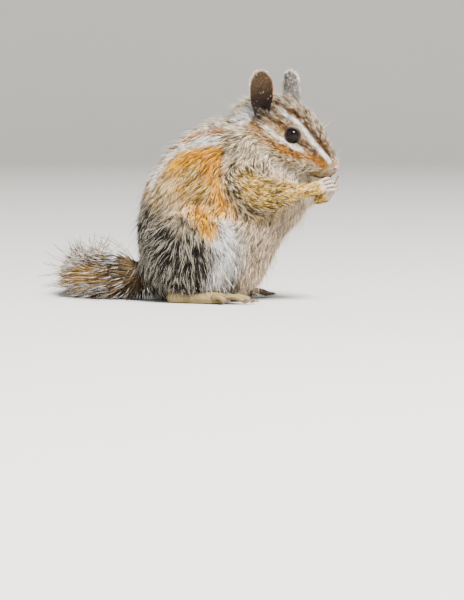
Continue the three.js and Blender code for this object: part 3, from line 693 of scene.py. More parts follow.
def node_triangles(name):
    """The corners and triangles of one CAD node, in millimetres."""
    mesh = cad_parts[name].data
    mesh.calc_loop_triangles()
    corners = np.empty(len(mesh.loop_triangles) * 3, np.int32)
    mesh.loop_triangles.foreach_get("vertices", corners)
    return coords(mesh), corners.reshape(-1, 3)


def joined_copy(name, nodes):
    """One object that holds a merged copy of the given solids."""
    joined = bmesh.new()
    for node in nodes:
        joined.from_mesh(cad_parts[node].data)
    bmesh.ops.remove_doubles(joined, verts=joined.verts, dist=1e-6)
    mesh = bpy.data.meshes.new(name)
    joined.to_mesh(mesh)
    joined.free()
    return linked(name, mesh)


def finger_bones(side_name):
    """The root, the bend and the tip of each of the four fingers, and the way out of the bent knuckles."""
    palm, knuckle = PALM[side_name], KNUCKLE[side_name]
    along, inward = unit(knuckle - palm), unit(REACH[side_name])
    spread = unit(np.cross(along, inward))
    for i in range(4):
        offset = (i - 1.5) * FINGER_SPREAD
        long = FINGER_LENGTH * (0.86 if i in (0, 3) else 1)
        root = knuckle + spread * offset * 0.75 - along * 1.4
        bend = root + along * long * 0.48 + spread * offset * 0.16 + inward * long * 0.1
        tip = root + along * long * 0.58 + spread * offset * 0.18 + inward * long * 0.5
        yield root, bend, tip, along


def hand_form(name):
    """One forepaw: a palm that runs back into the forearm, and four slender folded fingers."""
    side_name = name.split("_")[-1]
    wrist, palm, knuckle = WRIST[side_name], PALM[side_name], KNUCKLE[side_name]
    along = unit(knuckle - palm)
    spread = unit(np.cross(along, unit(REACH[side_name])))
    back = unit(ELBOW * [1, SIDES[side_name], 1] - wrist) * 3.4
    share = np.linspace(0, 1, 13)
    lines = []
    for off in (-0.8, 0.8):
        path = [wrist + back, wrist, palm + spread * off, knuckle + spread * off * 1.1 - along * 0.9]
        lines.append((smooth_line(path, 13), np.interp(share, [0, 0.33, 0.67, 1], [2.3, 2.1, 1.9, 1.25])))
    for root, bend, tip, _ in finger_bones(side_name):
        lines.append((smooth_line([root, bend, tip], 13), np.interp(share, [0, 0.5, 1], [0.62, 0.70, 0.48])))
    return tubes(name + "_form", lines, 10)


def rooted(name):
    """A copy of one ear or foot. An ear is narrower at its root, which stands well inside the head."""
    obj = joined_copy(name, [name])
    points = coords(obj.data)
    side_name = name.split("_")[-1]
    side = SIDES[side_name]
    if name.startswith("ear"):
        across, _, up = to_ear(points, side).T
        narrower = 0.3 * across * (1 - smoothstep(0, 0.55 * EAR_HEIGHT, up))
        points = points - np.outer(narrower, ear_axes(side)[:, 0] @ HEAD_AXES.T)
        inwards = -(ear_axes(side)[:, 2] @ HEAD_AXES.T)
        share = 1 - smoothstep(0, 3.5, up)
    else:
        return obj
    put_coords(obj.data, points + np.outer(share * 2.6, inwards))
    return obj


def evenly_meshed(obj, swell, size):
    """Swells an object to close its gaps and covers it with one closed surface of even faces."""
    only(obj)
    if swell:
        bpy.ops.object.modifier_add(type="DISPLACE")
        obj.modifiers[-1].strength = swell
        obj.modifiers[-1].mid_level = 0
        bpy.ops.object.modifier_apply(modifier=obj.modifiers[-1].name)
    bpy.ops.object.modifier_add(type="REMESH")
    obj.modifiers[-1].mode = "VOXEL"
    obj.modifiers[-1].voxel_size = size
    bpy.ops.object.modifier_apply(modifier=obj.modifiers[-1].name)
    return obj


def tail_core():
    line = smooth_line(TAIL_LINE, 40)
    radii = np.interp(np.linspace(0, 1, 40), np.linspace(0, 1, len(TAIL_CORE)), TAIL_CORE)
    return tubes("tail_core", [(line, radii)], 12)


def surface_tree(names):
    """The surfaces of the named solids in one tree, and the number in REGIONS of each triangle's owner."""
    corners, faces, owner, start = [], [], [], 0
    for name in names:
        if name == "tail":
            core = tail_core()
            core.data.calc_loop_triangles()
            p = coords(core.data)
            f = np.array([triangle.vertices[:] for triangle in core.data.loop_triangles])
            bpy.data.objects.remove(core)
        else:
            p, f = node_triangles(name)
        corners.append(p)
        faces.append(f + start)
        owner += [REGIONS.index(name)] * len(f)
        start += len(p)
    return BVHTree.FromPolygons(np.vstack(corners).tolist(), np.vstack(faces).tolist()), owner


def eye_gap_of(points):
    """How far each point is from the centre of the nearer eye."""
    local = to_head(points)
    return np.minimum(*[np.linalg.norm(local - EYE_CENTRE * [1, side, 1], axis=1) for side in SIDES.values()])


def regions_of(points, names):
    """The number in REGIONS of the named solid that each point is nearest to."""
    tree, owner = surface_tree(names)
    return np.array([owner[tree.find_nearest(Vector(p))[2]] for p in points])


def joined_objects(first, others):
    only(first)
    for obj in others:
        obj.select_set(True)
    bpy.ops.object.join()
    return first


def flow_of(points, regions):
    """The way the hair lies at each point."""
    flow = np.zeros((len(points), 3))
    share, across = trunk_place(points)
    back, belly = np.array(TRUNK_BACK, float), np.array(TRUNK_BELLY, float)
    step = 0.03
    down_back = on_line(back, share - step) - on_line(back, share + step)
    down_belly = on_line(belly, share - step) - on_line(belly, share + step)
    down = mixed(unit(down_back), unit(down_belly), np.clip(across, 0, 1))
    trunk = np.stack([down[:, 0], 0.10 * np.sign(points[:, 1]), down[:, 1]], 1)
    for number, name in enumerate(REGIONS):
        mine = regions == number
        p = points[mine]
        side_name = "left" if name.endswith("left") else "right"
        side = SIDES[side_name]
        if name in ("torso", "neck"):
            way = trunk[mine]
        elif name == "head":
            way = np.tile(np.array([-1, 0, -0.12]) @ HEAD_AXES.T, (len(p), 1))
        elif name.startswith("ear"):
            way = np.tile(ear_axes(side)[:, 2] @ HEAD_AXES.T, (len(p), 1))
        elif name.startswith("haunch"):
            forwards = -0.3 + 0.75 * smoothstep(-8, 20, p[:, 0])
            way = np.stack([forwards, 0 * forwards, -np.ones(len(p))], 1)
        elif name.startswith("upper_arm"):
            turn = smoothstep(14, 30, p[:, 0])
            start = (ELBOW - SHOULDER) * [1, 0, 1]
            end = WRIST[side_name] - ELBOW * [1, side, 1]
            way = mixed(np.tile(unit(start), (len(p), 1)), np.tile(unit(end), (len(p), 1)), turn)
        elif name.startswith("forearm"):
            way = np.tile(unit(WRIST[side_name] - ELBOW * [1, side, 1]), (len(p), 1))
        elif name.startswith("forepaw"):
            way = np.tile(unit(KNUCKLE[side_name] - WRIST[side_name]), (len(p), 1))
        elif name.startswith("hindfoot"):
            way = np.tile([math.cos(FOOT_SPLAY), math.sin(FOOT_SPLAY) * side, -0.1], (len(p), 1))
        else:
            line = smooth_line(TAIL_LINE, 60)
            along, _ = along_line(p, line)
            way = unit(on_line(line, along + 0.02) - on_line(line, along - 0.02))
        flow[mine] = way
    return unit(flow)


def by_region(regions, values, default):
    """A value for each point from a table keyed by the start of a region's name."""
    table = np.full(len(REGIONS), float(default))
    for start, value in values.items():
        for number, name in enumerate(REGIONS):
            if name.startswith(start):
                table[number] = value
    return table[regions]


def make_skin(settings):
    small = [name for name in FLESH if name.startswith(FINE_PARTS)]
    large = [name for name in FLESH if name not in small]
    body = joined_objects(joined_copy("skin", large), [tail_core()])
    evenly_meshed(body, settings.swell, settings.mesh_size)
    regions = [regions_of(coords(body.data), [*large, "tail"])]
    extremities = [evenly_meshed(hand_form(name), 0, settings.fine_size * 0.7) if name.startswith("forepaw")
                   else evenly_meshed(rooted(name), 0, settings.fine_size) for name in small]
    for name, obj in zip(small, extremities):
        regions.append(np.full(len(obj.data.vertices), REGIONS.index(name)))
    joined_objects(body, extremities)
    regions = np.concatenate(regions)
    mesh = body.data
    points = coords(mesh)
    swell = by_region(regions, {part: 0 for part in FINE_PARTS}, settings.swell / MM)
    evener = Evener(mesh)

    on_head = regions == REGIONS.index("head")
    rounds = by_region(regions, {"ear": 3, "forepaw": 1, "hindfoot": 2, "tail": 8, "forearm": 24, "upper_arm": 110,
                                 "haunch": 26}, 40)
    rounds = np.where(on_head, 4 + 40 * smoothstep(24, 34, -to_head(points)[:, 0]), rounds)
    rounds = evener.even(rounds, 10)
    for step in range(110):
        moving = np.clip(rounds - step, 0, 1)[:, None] * 0.6
        points = points + moving * (evener.mean(points) - points)
    put_coords(mesh, points)
    surface = points - vertex_normals(mesh) * swell[:, None]
    faces = [face.vertices[:] for face in mesh.polygons]
    settle_strokes(BVHTree.FromPolygons(surface.tolist(), faces))

    local = to_head(points)
    behind = np.clip(-local[:, 0], 0, 45)
    depth = by_region(regions, {
        "haunch": settings.body_depth / MM * 1.1, "upper_arm": 1.5, "forearm": 1.0, "ear": settings.paw_depth / MM,
        "forepaw": settings.paw_depth / MM, "hindfoot": settings.paw_depth / MM, "tail": 0.0,
    }, settings.body_depth / MM)
    depth = np.where(on_head, settings.face_depth / MM + 0.032 * behind, depth)
    depth = evener.even(depth, 20) * by_region(regions, {"ear": 0.3}, 1.0)
    depth = depth * (0.1 + 0.9 * smoothstep(3.2, 7.0, eye_gap_of(points)))
    normals = vertex_normals(mesh)
    points = points - normals * (depth + swell)[:, None]
    thin = by_region(regions, {"ear": 0, "forepaw": 0, "hindfoot": 0, "head": 0.35}, 1.0)
    for _ in range(4):
        points = points + 0.5 * thin[:, None] * (evener.mean(points) - points)
    points[:, 2] = np.maximum(points[:, 2], 0.02)
    put_coords(mesh, points)
    normals = vertex_normals(mesh)

    parts = {}
    for key, start, spread in (("arm", ("upper_arm", "forearm"), 50), ("head", ("head",), 60), ("ear", ("ear",), 3),
                               ("hand", ("forepaw",), 14), ("foot", ("hindfoot",), 10), ("tail", ("tail",), 30)):
        member = np.array([name.startswith(start) and not (key == "arm" and "paw" in name) for name in REGIONS])
        parts[key] = evener.even(member[regions].astype(float), spread)
    flow = evener.even(flow_of(points, regions), 30)
    flow = unit(flow - (flow * normals).sum(1, keepdims=True) * normals)
    colour, _ = markings(surface, normals, parts)
    creases = shaded_creases(evener, points, normals, parts)
    bare = np.maximum(parts["hand"], parts["foot"])
    # The skin under the coat keeps only 0.4 of its colour as painted shade between the hairs; bare hands and feet keep
    # 0.95, darkened by painted shade in their creases.
    put_colour(mesh, "markings", colour * ((0.4 + 0.55 * bare) * creases)[:, None])
    mesh.materials.clear()
    mesh.materials.append(bumpy_material("short_fur_skin", {"Roughness": 0.85, "Specular IOR Level": 0.12}, 1800, 0.4))

    only(body)
    bpy.ops.object.shade_smooth()
    bpy.ops.object.mode_set(mode="EDIT")
    bpy.ops.mesh.select_all(action="SELECT")
    bpy.ops.uv.smart_project(angle_limit=math.radians(66), island_margin=0.002)
    bpy.ops.object.mode_set(mode="OBJECT")
    mesh.uv_layers[0].name = "OFBake"
    mesh.calc_loop_triangles()
    print("skin", len(mesh.loop_triangles), "triangles")
    built.update(points=points, surface=surface, creases=creases, normals=normals, regions=regions, parts=parts, flow=flow, evener=evener,
                 behind=behind, mesh=mesh)
    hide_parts(*FLESH, *TAIL_NODES)
    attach(body, BODY)


# Coat

RING_SHARES = {2: [0.0, 0.5], 4: [0.0, 0.3, 0.62, 0.73]}
LOCK_SIZES = {"head": 0.6, "down": 0.5, "arm": 0.68, "neck": 0.8, "back": 0.85, "haunch": 1.0, "tail": 1.6}


def tuft_mesh(name, rings, root, normal, flow, length, width, rise, shades, place, material):
    """One object of closed tapered tufts that rise from the skin and bend over along the lie of the coat."""
    count = len(root)
    shares = RING_SHARES[rings] + [1.0]
    centres, centre = [], root - normal * 0.12
    last = 0.0
    centres.append(centre)
    for share in shares[1:]:
        angle = rise * (1 - 0.8 * (share + last) / 2)
        step = (share - last) * length
        centre = centre + (flow * np.cos(angle)[:, None] + normal * np.sin(angle)[:, None]) * step[:, None]
        centres.append(centre)
        last = share
    points, colours, patches = [], [], []
    for k, share in enumerate(shares[:-1]):
        ahead = unit(centres[k + 1] - centres[k])
        lift = unit(normal - (normal * ahead).sum(1, keepdims=True) * ahead)
        across = np.cross(lift, ahead)
        half = (width * 0.5 * (1 - share) ** 0.55)[:, None]
        for turn in (math.pi / 2, math.pi * 7 / 6, math.pi * 11 / 6):
            points.append(centres[k] + across * half * math.cos(turn) + lift * half * 0.6 * math.sin(turn))
            colours.append(shades[k])
            patches.append(place + [0.0015 * math.cos(turn), 0.003 * (share - 0.5)])
    points.append(centres[-1])
    colours.append(shades[-1])
    patches.append(place + [0.0, 0.0015])
    each = rings * 3 + 1
    points = np.stack(points, 1).reshape(-1, 3)
    points[:, 2] = np.maximum(points[:, 2], 0.03)
    colours = np.stack(colours, 1).reshape(-1, 3)
    patches = np.stack(patches, 1).reshape(-1, 2)
    one = [(0, 2, 1)]
    for k in range(rings - 1):
        for i in range(3):
            j = (i + 1) % 3
            one += [(3 * k + i, 3 * k + j, 3 * k + 3 + j), (3 * k + i, 3 * k + 3 + j, 3 * k + 3 + i)]
    top = 3 * (rings - 1)
    one += [(top + i, top + (i + 1) % 3, each - 1) for i in range(3)]
    faces = (np.arange(count)[:, None, None] * each + np.array(one)[None]).reshape(-1, 3)

    mesh = bpy.data.meshes.new(name)
    mesh.vertices.add(len(points))
    mesh.vertices.foreach_set("co", (points * MM).astype(np.float32).ravel())
    mesh.loops.add(faces.size)
    mesh.loops.foreach_set("vertex_index", faces.astype(np.int32).ravel())
    mesh.polygons.add(len(faces))
    mesh.polygons.foreach_set("loop_start", np.arange(0, faces.size, 3, dtype=np.int32))
    mesh.update(calc_edges=True)
    mesh.polygons.foreach_set("use_smooth", np.ones(len(faces), bool))
    put_colour(mesh, "markings", colours)
    uv = mesh.uv_layers.new(name="OFBake")
    uv.data.foreach_set("uv", np.clip(patches, 0, 1)[faces.ravel()].astype(np.float32).ravel())
    mesh.materials.append(material)
    obj = linked(name, mesh)
    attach(obj, BODY)
    return obj


def sampled(chosen, density, draw):
    """Random roots on the chosen regions of the skin: which triangle, and where in it."""
    mesh = built["mesh"]
    if "triangles" not in built:
        mesh.calc_loop_triangles()
        corners = np.empty(len(mesh.loop_triangles) * 3, np.int32)
        loops = np.empty(len(mesh.loop_triangles) * 3, np.int32)
        mesh.loop_triangles.foreach_get("vertices", corners)
        mesh.loop_triangles.foreach_get("loops", loops)
        uv = np.empty(len(mesh.loops) * 2, np.float32)
        mesh.uv_layers["OFBake"].data.foreach_get("uv", uv)
        built["triangles"] = corners.reshape(-1, 3)
        built["places"] = uv.reshape(-1, 2)[loops.reshape(-1, 3)]
    triangles = built["triangles"]
    mine = np.nonzero(chosen[built["regions"][triangles[:, 0]]])[0]
    p = built["points"][triangles[mine]]
    area = 0.5 * np.linalg.norm(np.cross(p[:, 1] - p[:, 0], p[:, 2] - p[:, 0]), axis=1)
    expected = area * density[triangles[mine]].mean(1)
    number = np.floor(expected + draw.random(len(mine))).astype(int)
    picked = np.repeat(mine, number)
    a, b = draw.random(len(picked)), draw.random(len(picked))
    flip = a + b > 1
    a, b = np.where(flip, 1 - a, a), np.where(flip, 1 - b, b)
    return picked, np.stack([1 - a - b, a, b], 1)


def blend_at(values, picked, weights):
    """A vertex value of the skin at the sampled roots."""
    corners = values[built["triangles"][picked]]
    shape = weights if corners.ndim == 2 else weights[:, :, None]
    return (corners * shape).sum(1)


COAT_GROUPS = {
    "back": ("torso",),
    "neck": ("neck",),
    "haunch": ("haunch",),
    "arm": ("upper_arm", "forearm"),
    "head": ("head",),
    "down": ("ear", "forepaw", "hindfoot"),
    "tail": ("tail",),
}
MOST_FACES = 196000


def make_coat(settings, groups):
    """Tufts on the given groups of regions, as pieces that each stay under the limit of faces."""
    evener, regions, behind = built["evener"], built["regions"], built["behind"]
    points = built["points"]
    body = settings.body_length / MM
    length = by_region(regions, {
        "haunch": settings.haunch_length / MM, "upper_arm": 3.5, "forearm": 2.6, "ear": settings.down_length / MM,
        "forepaw": settings.down_length / MM * 0.6, "hindfoot": settings.down_length / MM * 0.75,
        "tail": settings.tail_length / MM,
    }, body)
    on_head = regions == REGIONS.index("head")
    paw = np.char.startswith(np.array(REGIONS), "forepaw")[regions]
    length = np.where(paw, 0.4 + 1.9 * (1 - smoothstep(0.5, 5.5, past_wrist(points))), length)
    length = np.where(on_head, 0.65 + 0.075 * behind + 0.13 * np.clip(behind - 30, 0, 12), length)
    density = by_region(regions, {"head": 14, "ear": 13, "forepaw": 9, "hindfoot": 9, "haunch": 9, "tail": 9,
                                  "upper_arm": 9, "forearm": 11, "neck": 9}, 8.0)
    density = np.where(on_head & (behind < 14), 20, density) * settings.thickness
    width = by_region(regions, {"head": 0.2, "ear": 0.15, "forepaw": 0.11, "hindfoot": 0.12, "tail": 0.5,
                                "forearm": 0.28}, settings.tuft_width / MM)
    width = np.where(on_head & (behind < 14), 0.15, width)
    width = np.where(paw, 0.11 + 0.07 * length, width)
    keep_length = length.copy()
    length = evener.even(length, 16)
    length = np.where(regions == REGIONS.index("tail"), keep_length, length)
    width = evener.even(width, 10)
    rise = by_region(regions, {"head": 30, "ear": 22, "forepaw": 16, "hindfoot": 16, "tail": 44, "forearm": 32}, 38)
    rise = np.radians(evener.even(rise, 10))
    fur = bpy.data.materials.get("coat_fur") or fur_material("coat_fur", 0.6, 0.0)

    for group in groups:
        starts = COAT_GROUPS[group]
        chosen = np.array([name.startswith(starts) for name in REGIONS])
        draw = np.random.default_rng([settings.seed, sorted(COAT_GROUPS).index(group)])
        picked, weights = sampled(chosen, density, draw)
        root = blend_at(points, picked, weights)
        eye_gap = eye_gap_of(root)
        kept = (eye_gap > 3.3) & ((root[:, 2] > 1.3) | (group == "down"))
        picked, weights, root, eye_gap = picked[kept], weights[kept], root[kept], eye_gap[kept]
        count = len(root)
        normal = unit(blend_at(built["normals"], picked, weights))
        flow = blend_at(built["flow"], picked, weights)
        long = blend_at(length, picked, weights) * np.clip(draw.normal(1, 0.14, count), 0.6, 1.5)
        guard = (draw.random(count) < 0.045) & (group != "down")
        long = np.where(guard, long * 1.7, long)
        long = long * (1 if group == "down" else np.clip(0.3 + 0.2 * root[:, 2], 0, 1))
        long = np.where(eye_gap < 7, long * np.clip((eye_gap - 2.6) / 3.4, 0.25, 1), long)
        lift = blend_at(rise, picked, weights) * np.clip(draw.normal(1, 0.2, count), 0.4, 1.8)
        lift = np.where(guard, lift * 1.45, lift)
        lock = LOCK_SIZES.get(group, 1.0)
        gather, bright = clumped(root, lock, 61), clumped(root, 1.3 * lock, 71)
        swirl = 0.30 * wander(root, 8, 51) + 0.55 * (clumped(root, 1.7 * lock, 67) - 0.5) + draw.normal(0, 0.12, count)
        side_way = np.cross(normal, flow)
        flow = unit(flow * np.cos(swirl)[:, None] + side_way * np.sin(swirl)[:, None])
        flow[:, 2] = np.maximum(flow[:, 2], -0.12 * root[:, 2] - 0.1)
        wide = blend_at(width, picked, weights) * draw.uniform(0.8, 1.2, count) * np.where(guard, 0.6, 1)
        place = (built["places"][picked] * weights[:, :, None]).sum(1)
        parts = {key: blend_at(value, picked, weights) for key, value in built["parts"].items()}
        reach = 0.5 if group != "tail" else 0.0
        seen = blend_at(built["surface"], picked, weights) + flow * (long * reach)[:, None]
        seen = seen + draw.normal(0, 0.18 if group in ("head", "down") else 0.34, seen.shape)
        colour, tick = markings(seen, normal, parts)
        if group == "tail":
            shades = tail_shades(settings, root, normal, gather, draw)
        else:
            shades = coat_shades(settings, colour, tick, gather, bright, guard, draw)
        # Painted shade in the creases of fingers and toes, laid on their down as well.
        shades = [shade * blend_at(built["creases"], picked, weights)[:, None] for shade in shades]
        rings = 4 if group == "tail" else 2
        most = MOST_FACES // (6 * rings - 2)
        for side_name, side in SIDES.items():
            mine = np.nonzero(root[:, 1] * side > 0)[0] if group != "tail" else np.arange(count)
            if group == "tail":
                if side_name == "right":
                    continue
                along, _ = along_line(root, TAIL_LINE)
                mine = mine[np.argsort(along, kind="stable")]
            else:
                mine = mine[np.argsort(root[mine, 2], kind="stable")]
            lots = max(1, math.ceil(len(mine) / most))
            for number, lot in enumerate(np.array_split(mine, lots)):
                label = f"coat_{group}_{side_name}" if group != "tail" else "coat_tail"
                label += f"_{number + 1}" if lots > 1 else ""
                obj = tuft_mesh(label, rings, root[lot], normal[lot], flow[lot], long[lot], wide[lot], lift[lot],
                                [shade[lot] for shade in shades], place[lot], fur)
                print(label, len(lot), "tufts", len(obj.data.polygons), "faces")


def coat_shades(settings, colour, tick, gather, bright, guard, draw):
    """Colours of each tuft at its two rings and its tip: painted shade at the root, the marking, then a ticked tip."""
    count = len(colour)
    chance = np.where(draw.random(count) < 0.9, gather, draw.random(count))
    lightness = (np.clip(draw.normal(1, 0.1, count), 0.6, 1.4) * (0.46 + 0.98 * bright))[:, None]
    strength = 1 - colour.min(1) / colour.max(1)
    pale_share = 0.27 * tick * (1 - 0.85 * smoothstep(0.65, 0.9, strength))
    pale = ((chance < pale_share) | (guard & (draw.random(count) < 0.5)))[:, None]
    dark = (chance > 1 - 0.46 * tick)[:, None] & ~pale
    # Painted shade at the root of each tuft, deeper under dark hair than under pale.
    shadow = 0.12 + 0.55 * np.clip(colour.mean(1, keepdims=True) / 0.7, 0, 1)
    middle = colour * lightness
    tip = middle * 1.1
    tip = np.where(pale, 0.2 * middle + 0.8 * np.array(settings.pale_tip), tip)
    middle = np.where(pale, 0.65 * middle + 0.35 * np.array(settings.pale_tip), middle)
    tip = np.where(dark, colour * 0.12, tip)
    middle = np.where(dark, middle * 0.22, middle)
    return [np.clip(c, 0.002, 0.95) for c in (colour * shadow, middle, tip)]


def tail_shades(settings, root, normal, gather, draw):
    """Colours of tail hair at its rings and tip: ochre below, at half strength at the root as painted shade, a dark
    band, then a frosted end.
    """
    count = len(root)
    along, _ = along_line(root, TAIL_LINE)
    # Darker towards the root of the tail: dark fur there, deepened as painted shade where the tail leaves the rump.
    root_dark_and_shade = 1 - smoothstep(0.10, 0.34, along)
    side = smoothstep(0.75, 0.3, np.abs(normal[:, 2] - 0.05)) * smoothstep(0.12, 0.3, along)
    ochre = mixed(tint("tail_ochre")[None] * draw.normal(1, 0.2, count)[:, None], tint("tail_root"), root_dark_and_shade * 0.9)
    band = np.tile(np.array(settings.band), (count, 1)) * draw.uniform(0.7, 1.6, count)[:, None]
    chance = np.where(draw.random(count) < 0.6, gather, draw.random(count))
    frost = np.array(settings.frost) * draw.uniform(0.7, 1.05, count)[:, None]
    tip = np.where((chance < 0.7 - 0.4 * side - 0.5 * root_dark_and_shade)[:, None], frost, ochre * 1.2)
    tip = np.where((chance > 0.74)[:, None], band, tip)
    band = mixed(band, ochre, 0.6 * side)
    # The root ring at half the ochre is painted shade at the root of the hair.
    return [ochre * 0.5, ochre, band, tip * 0.9, tip]


# Eyes, lids, nose, mouth, whiskers and claws

EYE_RADIUS = 3.05
NOSTRIL = np.array([-0.35, 1.25, -1.5])
MOUTH_LINE = [(-9.0, 6.3, -6.2), (-7.2, 5.3, -6.6), (-4.6, 3.6, -6.6), (-2.4, 1.9, -6.0), (-1.2, 0, -5.3)]


def on_skin(point):
    """The nearest point of the skin to a point, and the skin's normal there, in millimetres."""
    if "tree" not in built:
        built["tree"] = BVHTree.FromObject(bpy.data.objects["skin"], bpy.context.evaluated_depsgraph_get())
    place, normal, _, _ = built["tree"].find_nearest(Vector(np.asarray(point) * MM))
    return np.array(place) / MM, np.array(normal)


def grained(name, sockets, colours, scale, strength=0.3):
    """A finish whose colour wanders between two tones in fine grains that also raise the surface."""
    material, tree, shader = principled(name, sockets)
    where = tree.nodes.new("ShaderNodeTexCoord")
    noise = tree.nodes.new("ShaderNodeTexNoise")
    noise.inputs["Scale"].default_value = scale
    noise.inputs["Detail"].default_value = 3
    tones = tree.nodes.new("ShaderNodeValToRGB")
    tones.color_ramp.elements[0].position = 0.35
    tones.color_ramp.elements[1].position = 0.68
    for element, colour in zip(tones.color_ramp.elements, colours):
        element.color = (*colour, 1)
    bump = tree.nodes.new("ShaderNodeBump")
    bump.inputs["Strength"].default_value = strength
    bump.inputs["Distance"].default_value = 0.0001
    tree.links.new(where.outputs["Object"], noise.inputs["Vector"])
    tree.links.new(noise.outputs["Fac"], tones.inputs["Fac"])
    tree.links.new(tones.outputs["Color"], shader.inputs["Base Color"])
    tree.links.new(noise.outputs["Fac"], bump.inputs["Height"])
    tree.links.new(bump.outputs["Normal"], shader.inputs["Normal"])
    return material


def finished(obj, material):
    """Sets a piece's place in its mesh, gives it its finish and lets it ride on the body."""
    only(obj)
    bpy.ops.object.transform_apply(location=True, rotation=True, scale=True)
    obj.data.materials.clear()
    obj.data.materials.append(material)
    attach(obj, BODY)
    return obj


def eye_axes(side):
    """Forwards and upwards across the opening of an eye, and the way it faces, in the head's frame."""
    facing = unit(EYE_FACING * [1, side, 1])
    forward = np.array([1, 0, -0.32])
    forward = unit(forward - facing * (forward @ facing))
    upward = np.cross(facing, forward)
    return forward, upward * np.sign(upward[2]), facing


def make_eyes(settings):
    gloss = grained("eye_gloss", {
        "Roughness": 0.05, "IOR": 1.34, "Specular IOR Level": 0.28,
    }, [settings.eye_colour, [c * 2.2 for c in settings.eye_colour]], 500, 0.0)
    for name, side in SIDES.items():
        centre = from_head(EYE_CENTRE * [1, side, 1])
        facing = eye_axes(side)[2] @ HEAD_AXES.T
        bpy.ops.object.select_all(action="DESELECT")
        bpy.ops.mesh.primitive_uv_sphere_add(
            segments=48, ring_count=28, radius=EYE_RADIUS * MM, location=centre * MM,
            rotation=Vector(facing).to_track_quat("Z", "Y").to_euler(),
        )
        eye = bpy.context.object
        eye.name = f"eyeball_{name}"
        bpy.ops.object.transform_apply(location=True, rotation=True, scale=True)
        points = coords(eye.data)
        ahead = (points - centre) @ facing / EYE_RADIUS
        put_coords(eye.data, points + np.outer(0.22 * smoothstep(0.62, 1.0, ahead), facing))
        bpy.ops.object.shade_smooth()
        finished(eye, gloss)
        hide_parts(f"eye_{name}")


# The lids in section, from their edge out to the skin and back beneath: degrees off the way the eye faces, and
# height above the eyeball as a share of how far the lids stand off.
LID_SECTION = [(50, 0.1), (53, 0.55), (58, 0.85), (66, 1.0), (76, 0.95), (88, 0.6), (98, -0.1), (90, -0.9), (66, -0.9),
               (52, -0.5)]
LID_TURNS = 56


def lid_ring(side, degrees, rise):
    """Points round an eye, a given angle off the way it faces, drawn out at its two corners."""
    forward, upward, facing = eye_axes(side)
    turn = np.linspace(-math.pi, math.pi, LID_TURNS, endpoint=False)
    back_turn = math.pi - np.abs(turn)
    corners = 17 * np.exp(-(((turn + 0.32) / 0.3) ** 2)) + 6 * np.exp(-((back_turn / 0.34) ** 2))
    flatter = 3.0 * np.clip(np.sin(turn), 0, 1)
    inner = np.clip((80 - degrees) / 30, 0, 1)
    off = np.radians(degrees + (corners - flatter) * inner)[:, None]
    outwards = np.cos(turn)[:, None] * forward + np.sin(turn)[:, None] * upward
    away = np.cos(off) * facing + np.sin(off) * outwards
    return from_head(EYE_CENTRE * [1, side, 1] + away * (EYE_RADIUS + rise)), from_head(
        EYE_CENTRE * [1, side, 1] + away * (EYE_RADIUS + 1.1))


def make_lids(settings):
    """The lids as a rounded rim that rises off the eyeball, bare and dark at its edge."""
    rim = bumpy_material("lid_rim", {"Roughness": 0.5, "Specular IOR Level": 0.35}, 2600, 0.3)
    for name, side in SIDES.items():
        rings, shades = [], []
        for degrees, share in LID_SECTION:
            ring, beyond = lid_ring(side, degrees, share * settings.lid_rise / MM)
            rings.append(ring)
            furred = smoothstep(57, 66, np.full(len(ring), degrees))
            shades.append(mixed(np.tile(np.array(settings.lid_colour), (len(ring), 1)), head_colour(beyond)[0] * 0.7,
                                furred))
        count = LID_TURNS
        faces = []
        for k in range(len(rings)):
            start, following = k * count, (k + 1) % len(rings) * count
            faces += [(start + i, start + (i + 1) % count, following + (i + 1) % count, following + i)
                      for i in range(count)]
        mesh = bpy.data.meshes.new(f"lids_{name}")
        mesh.from_pydata((np.vstack(rings) * MM).tolist(), [], faces)
        put_colour(mesh, "markings", np.vstack(shades))
        lids = only(linked(f"lids_{name}", mesh))
        bpy.ops.object.mode_set(mode="EDIT")
        bpy.ops.mesh.select_all(action="SELECT")
        bpy.ops.mesh.normals_make_consistent(inside=False)
        bpy.ops.object.mode_set(mode="OBJECT")
        bpy.ops.object.shade_smooth()
        finished(lids, rim)


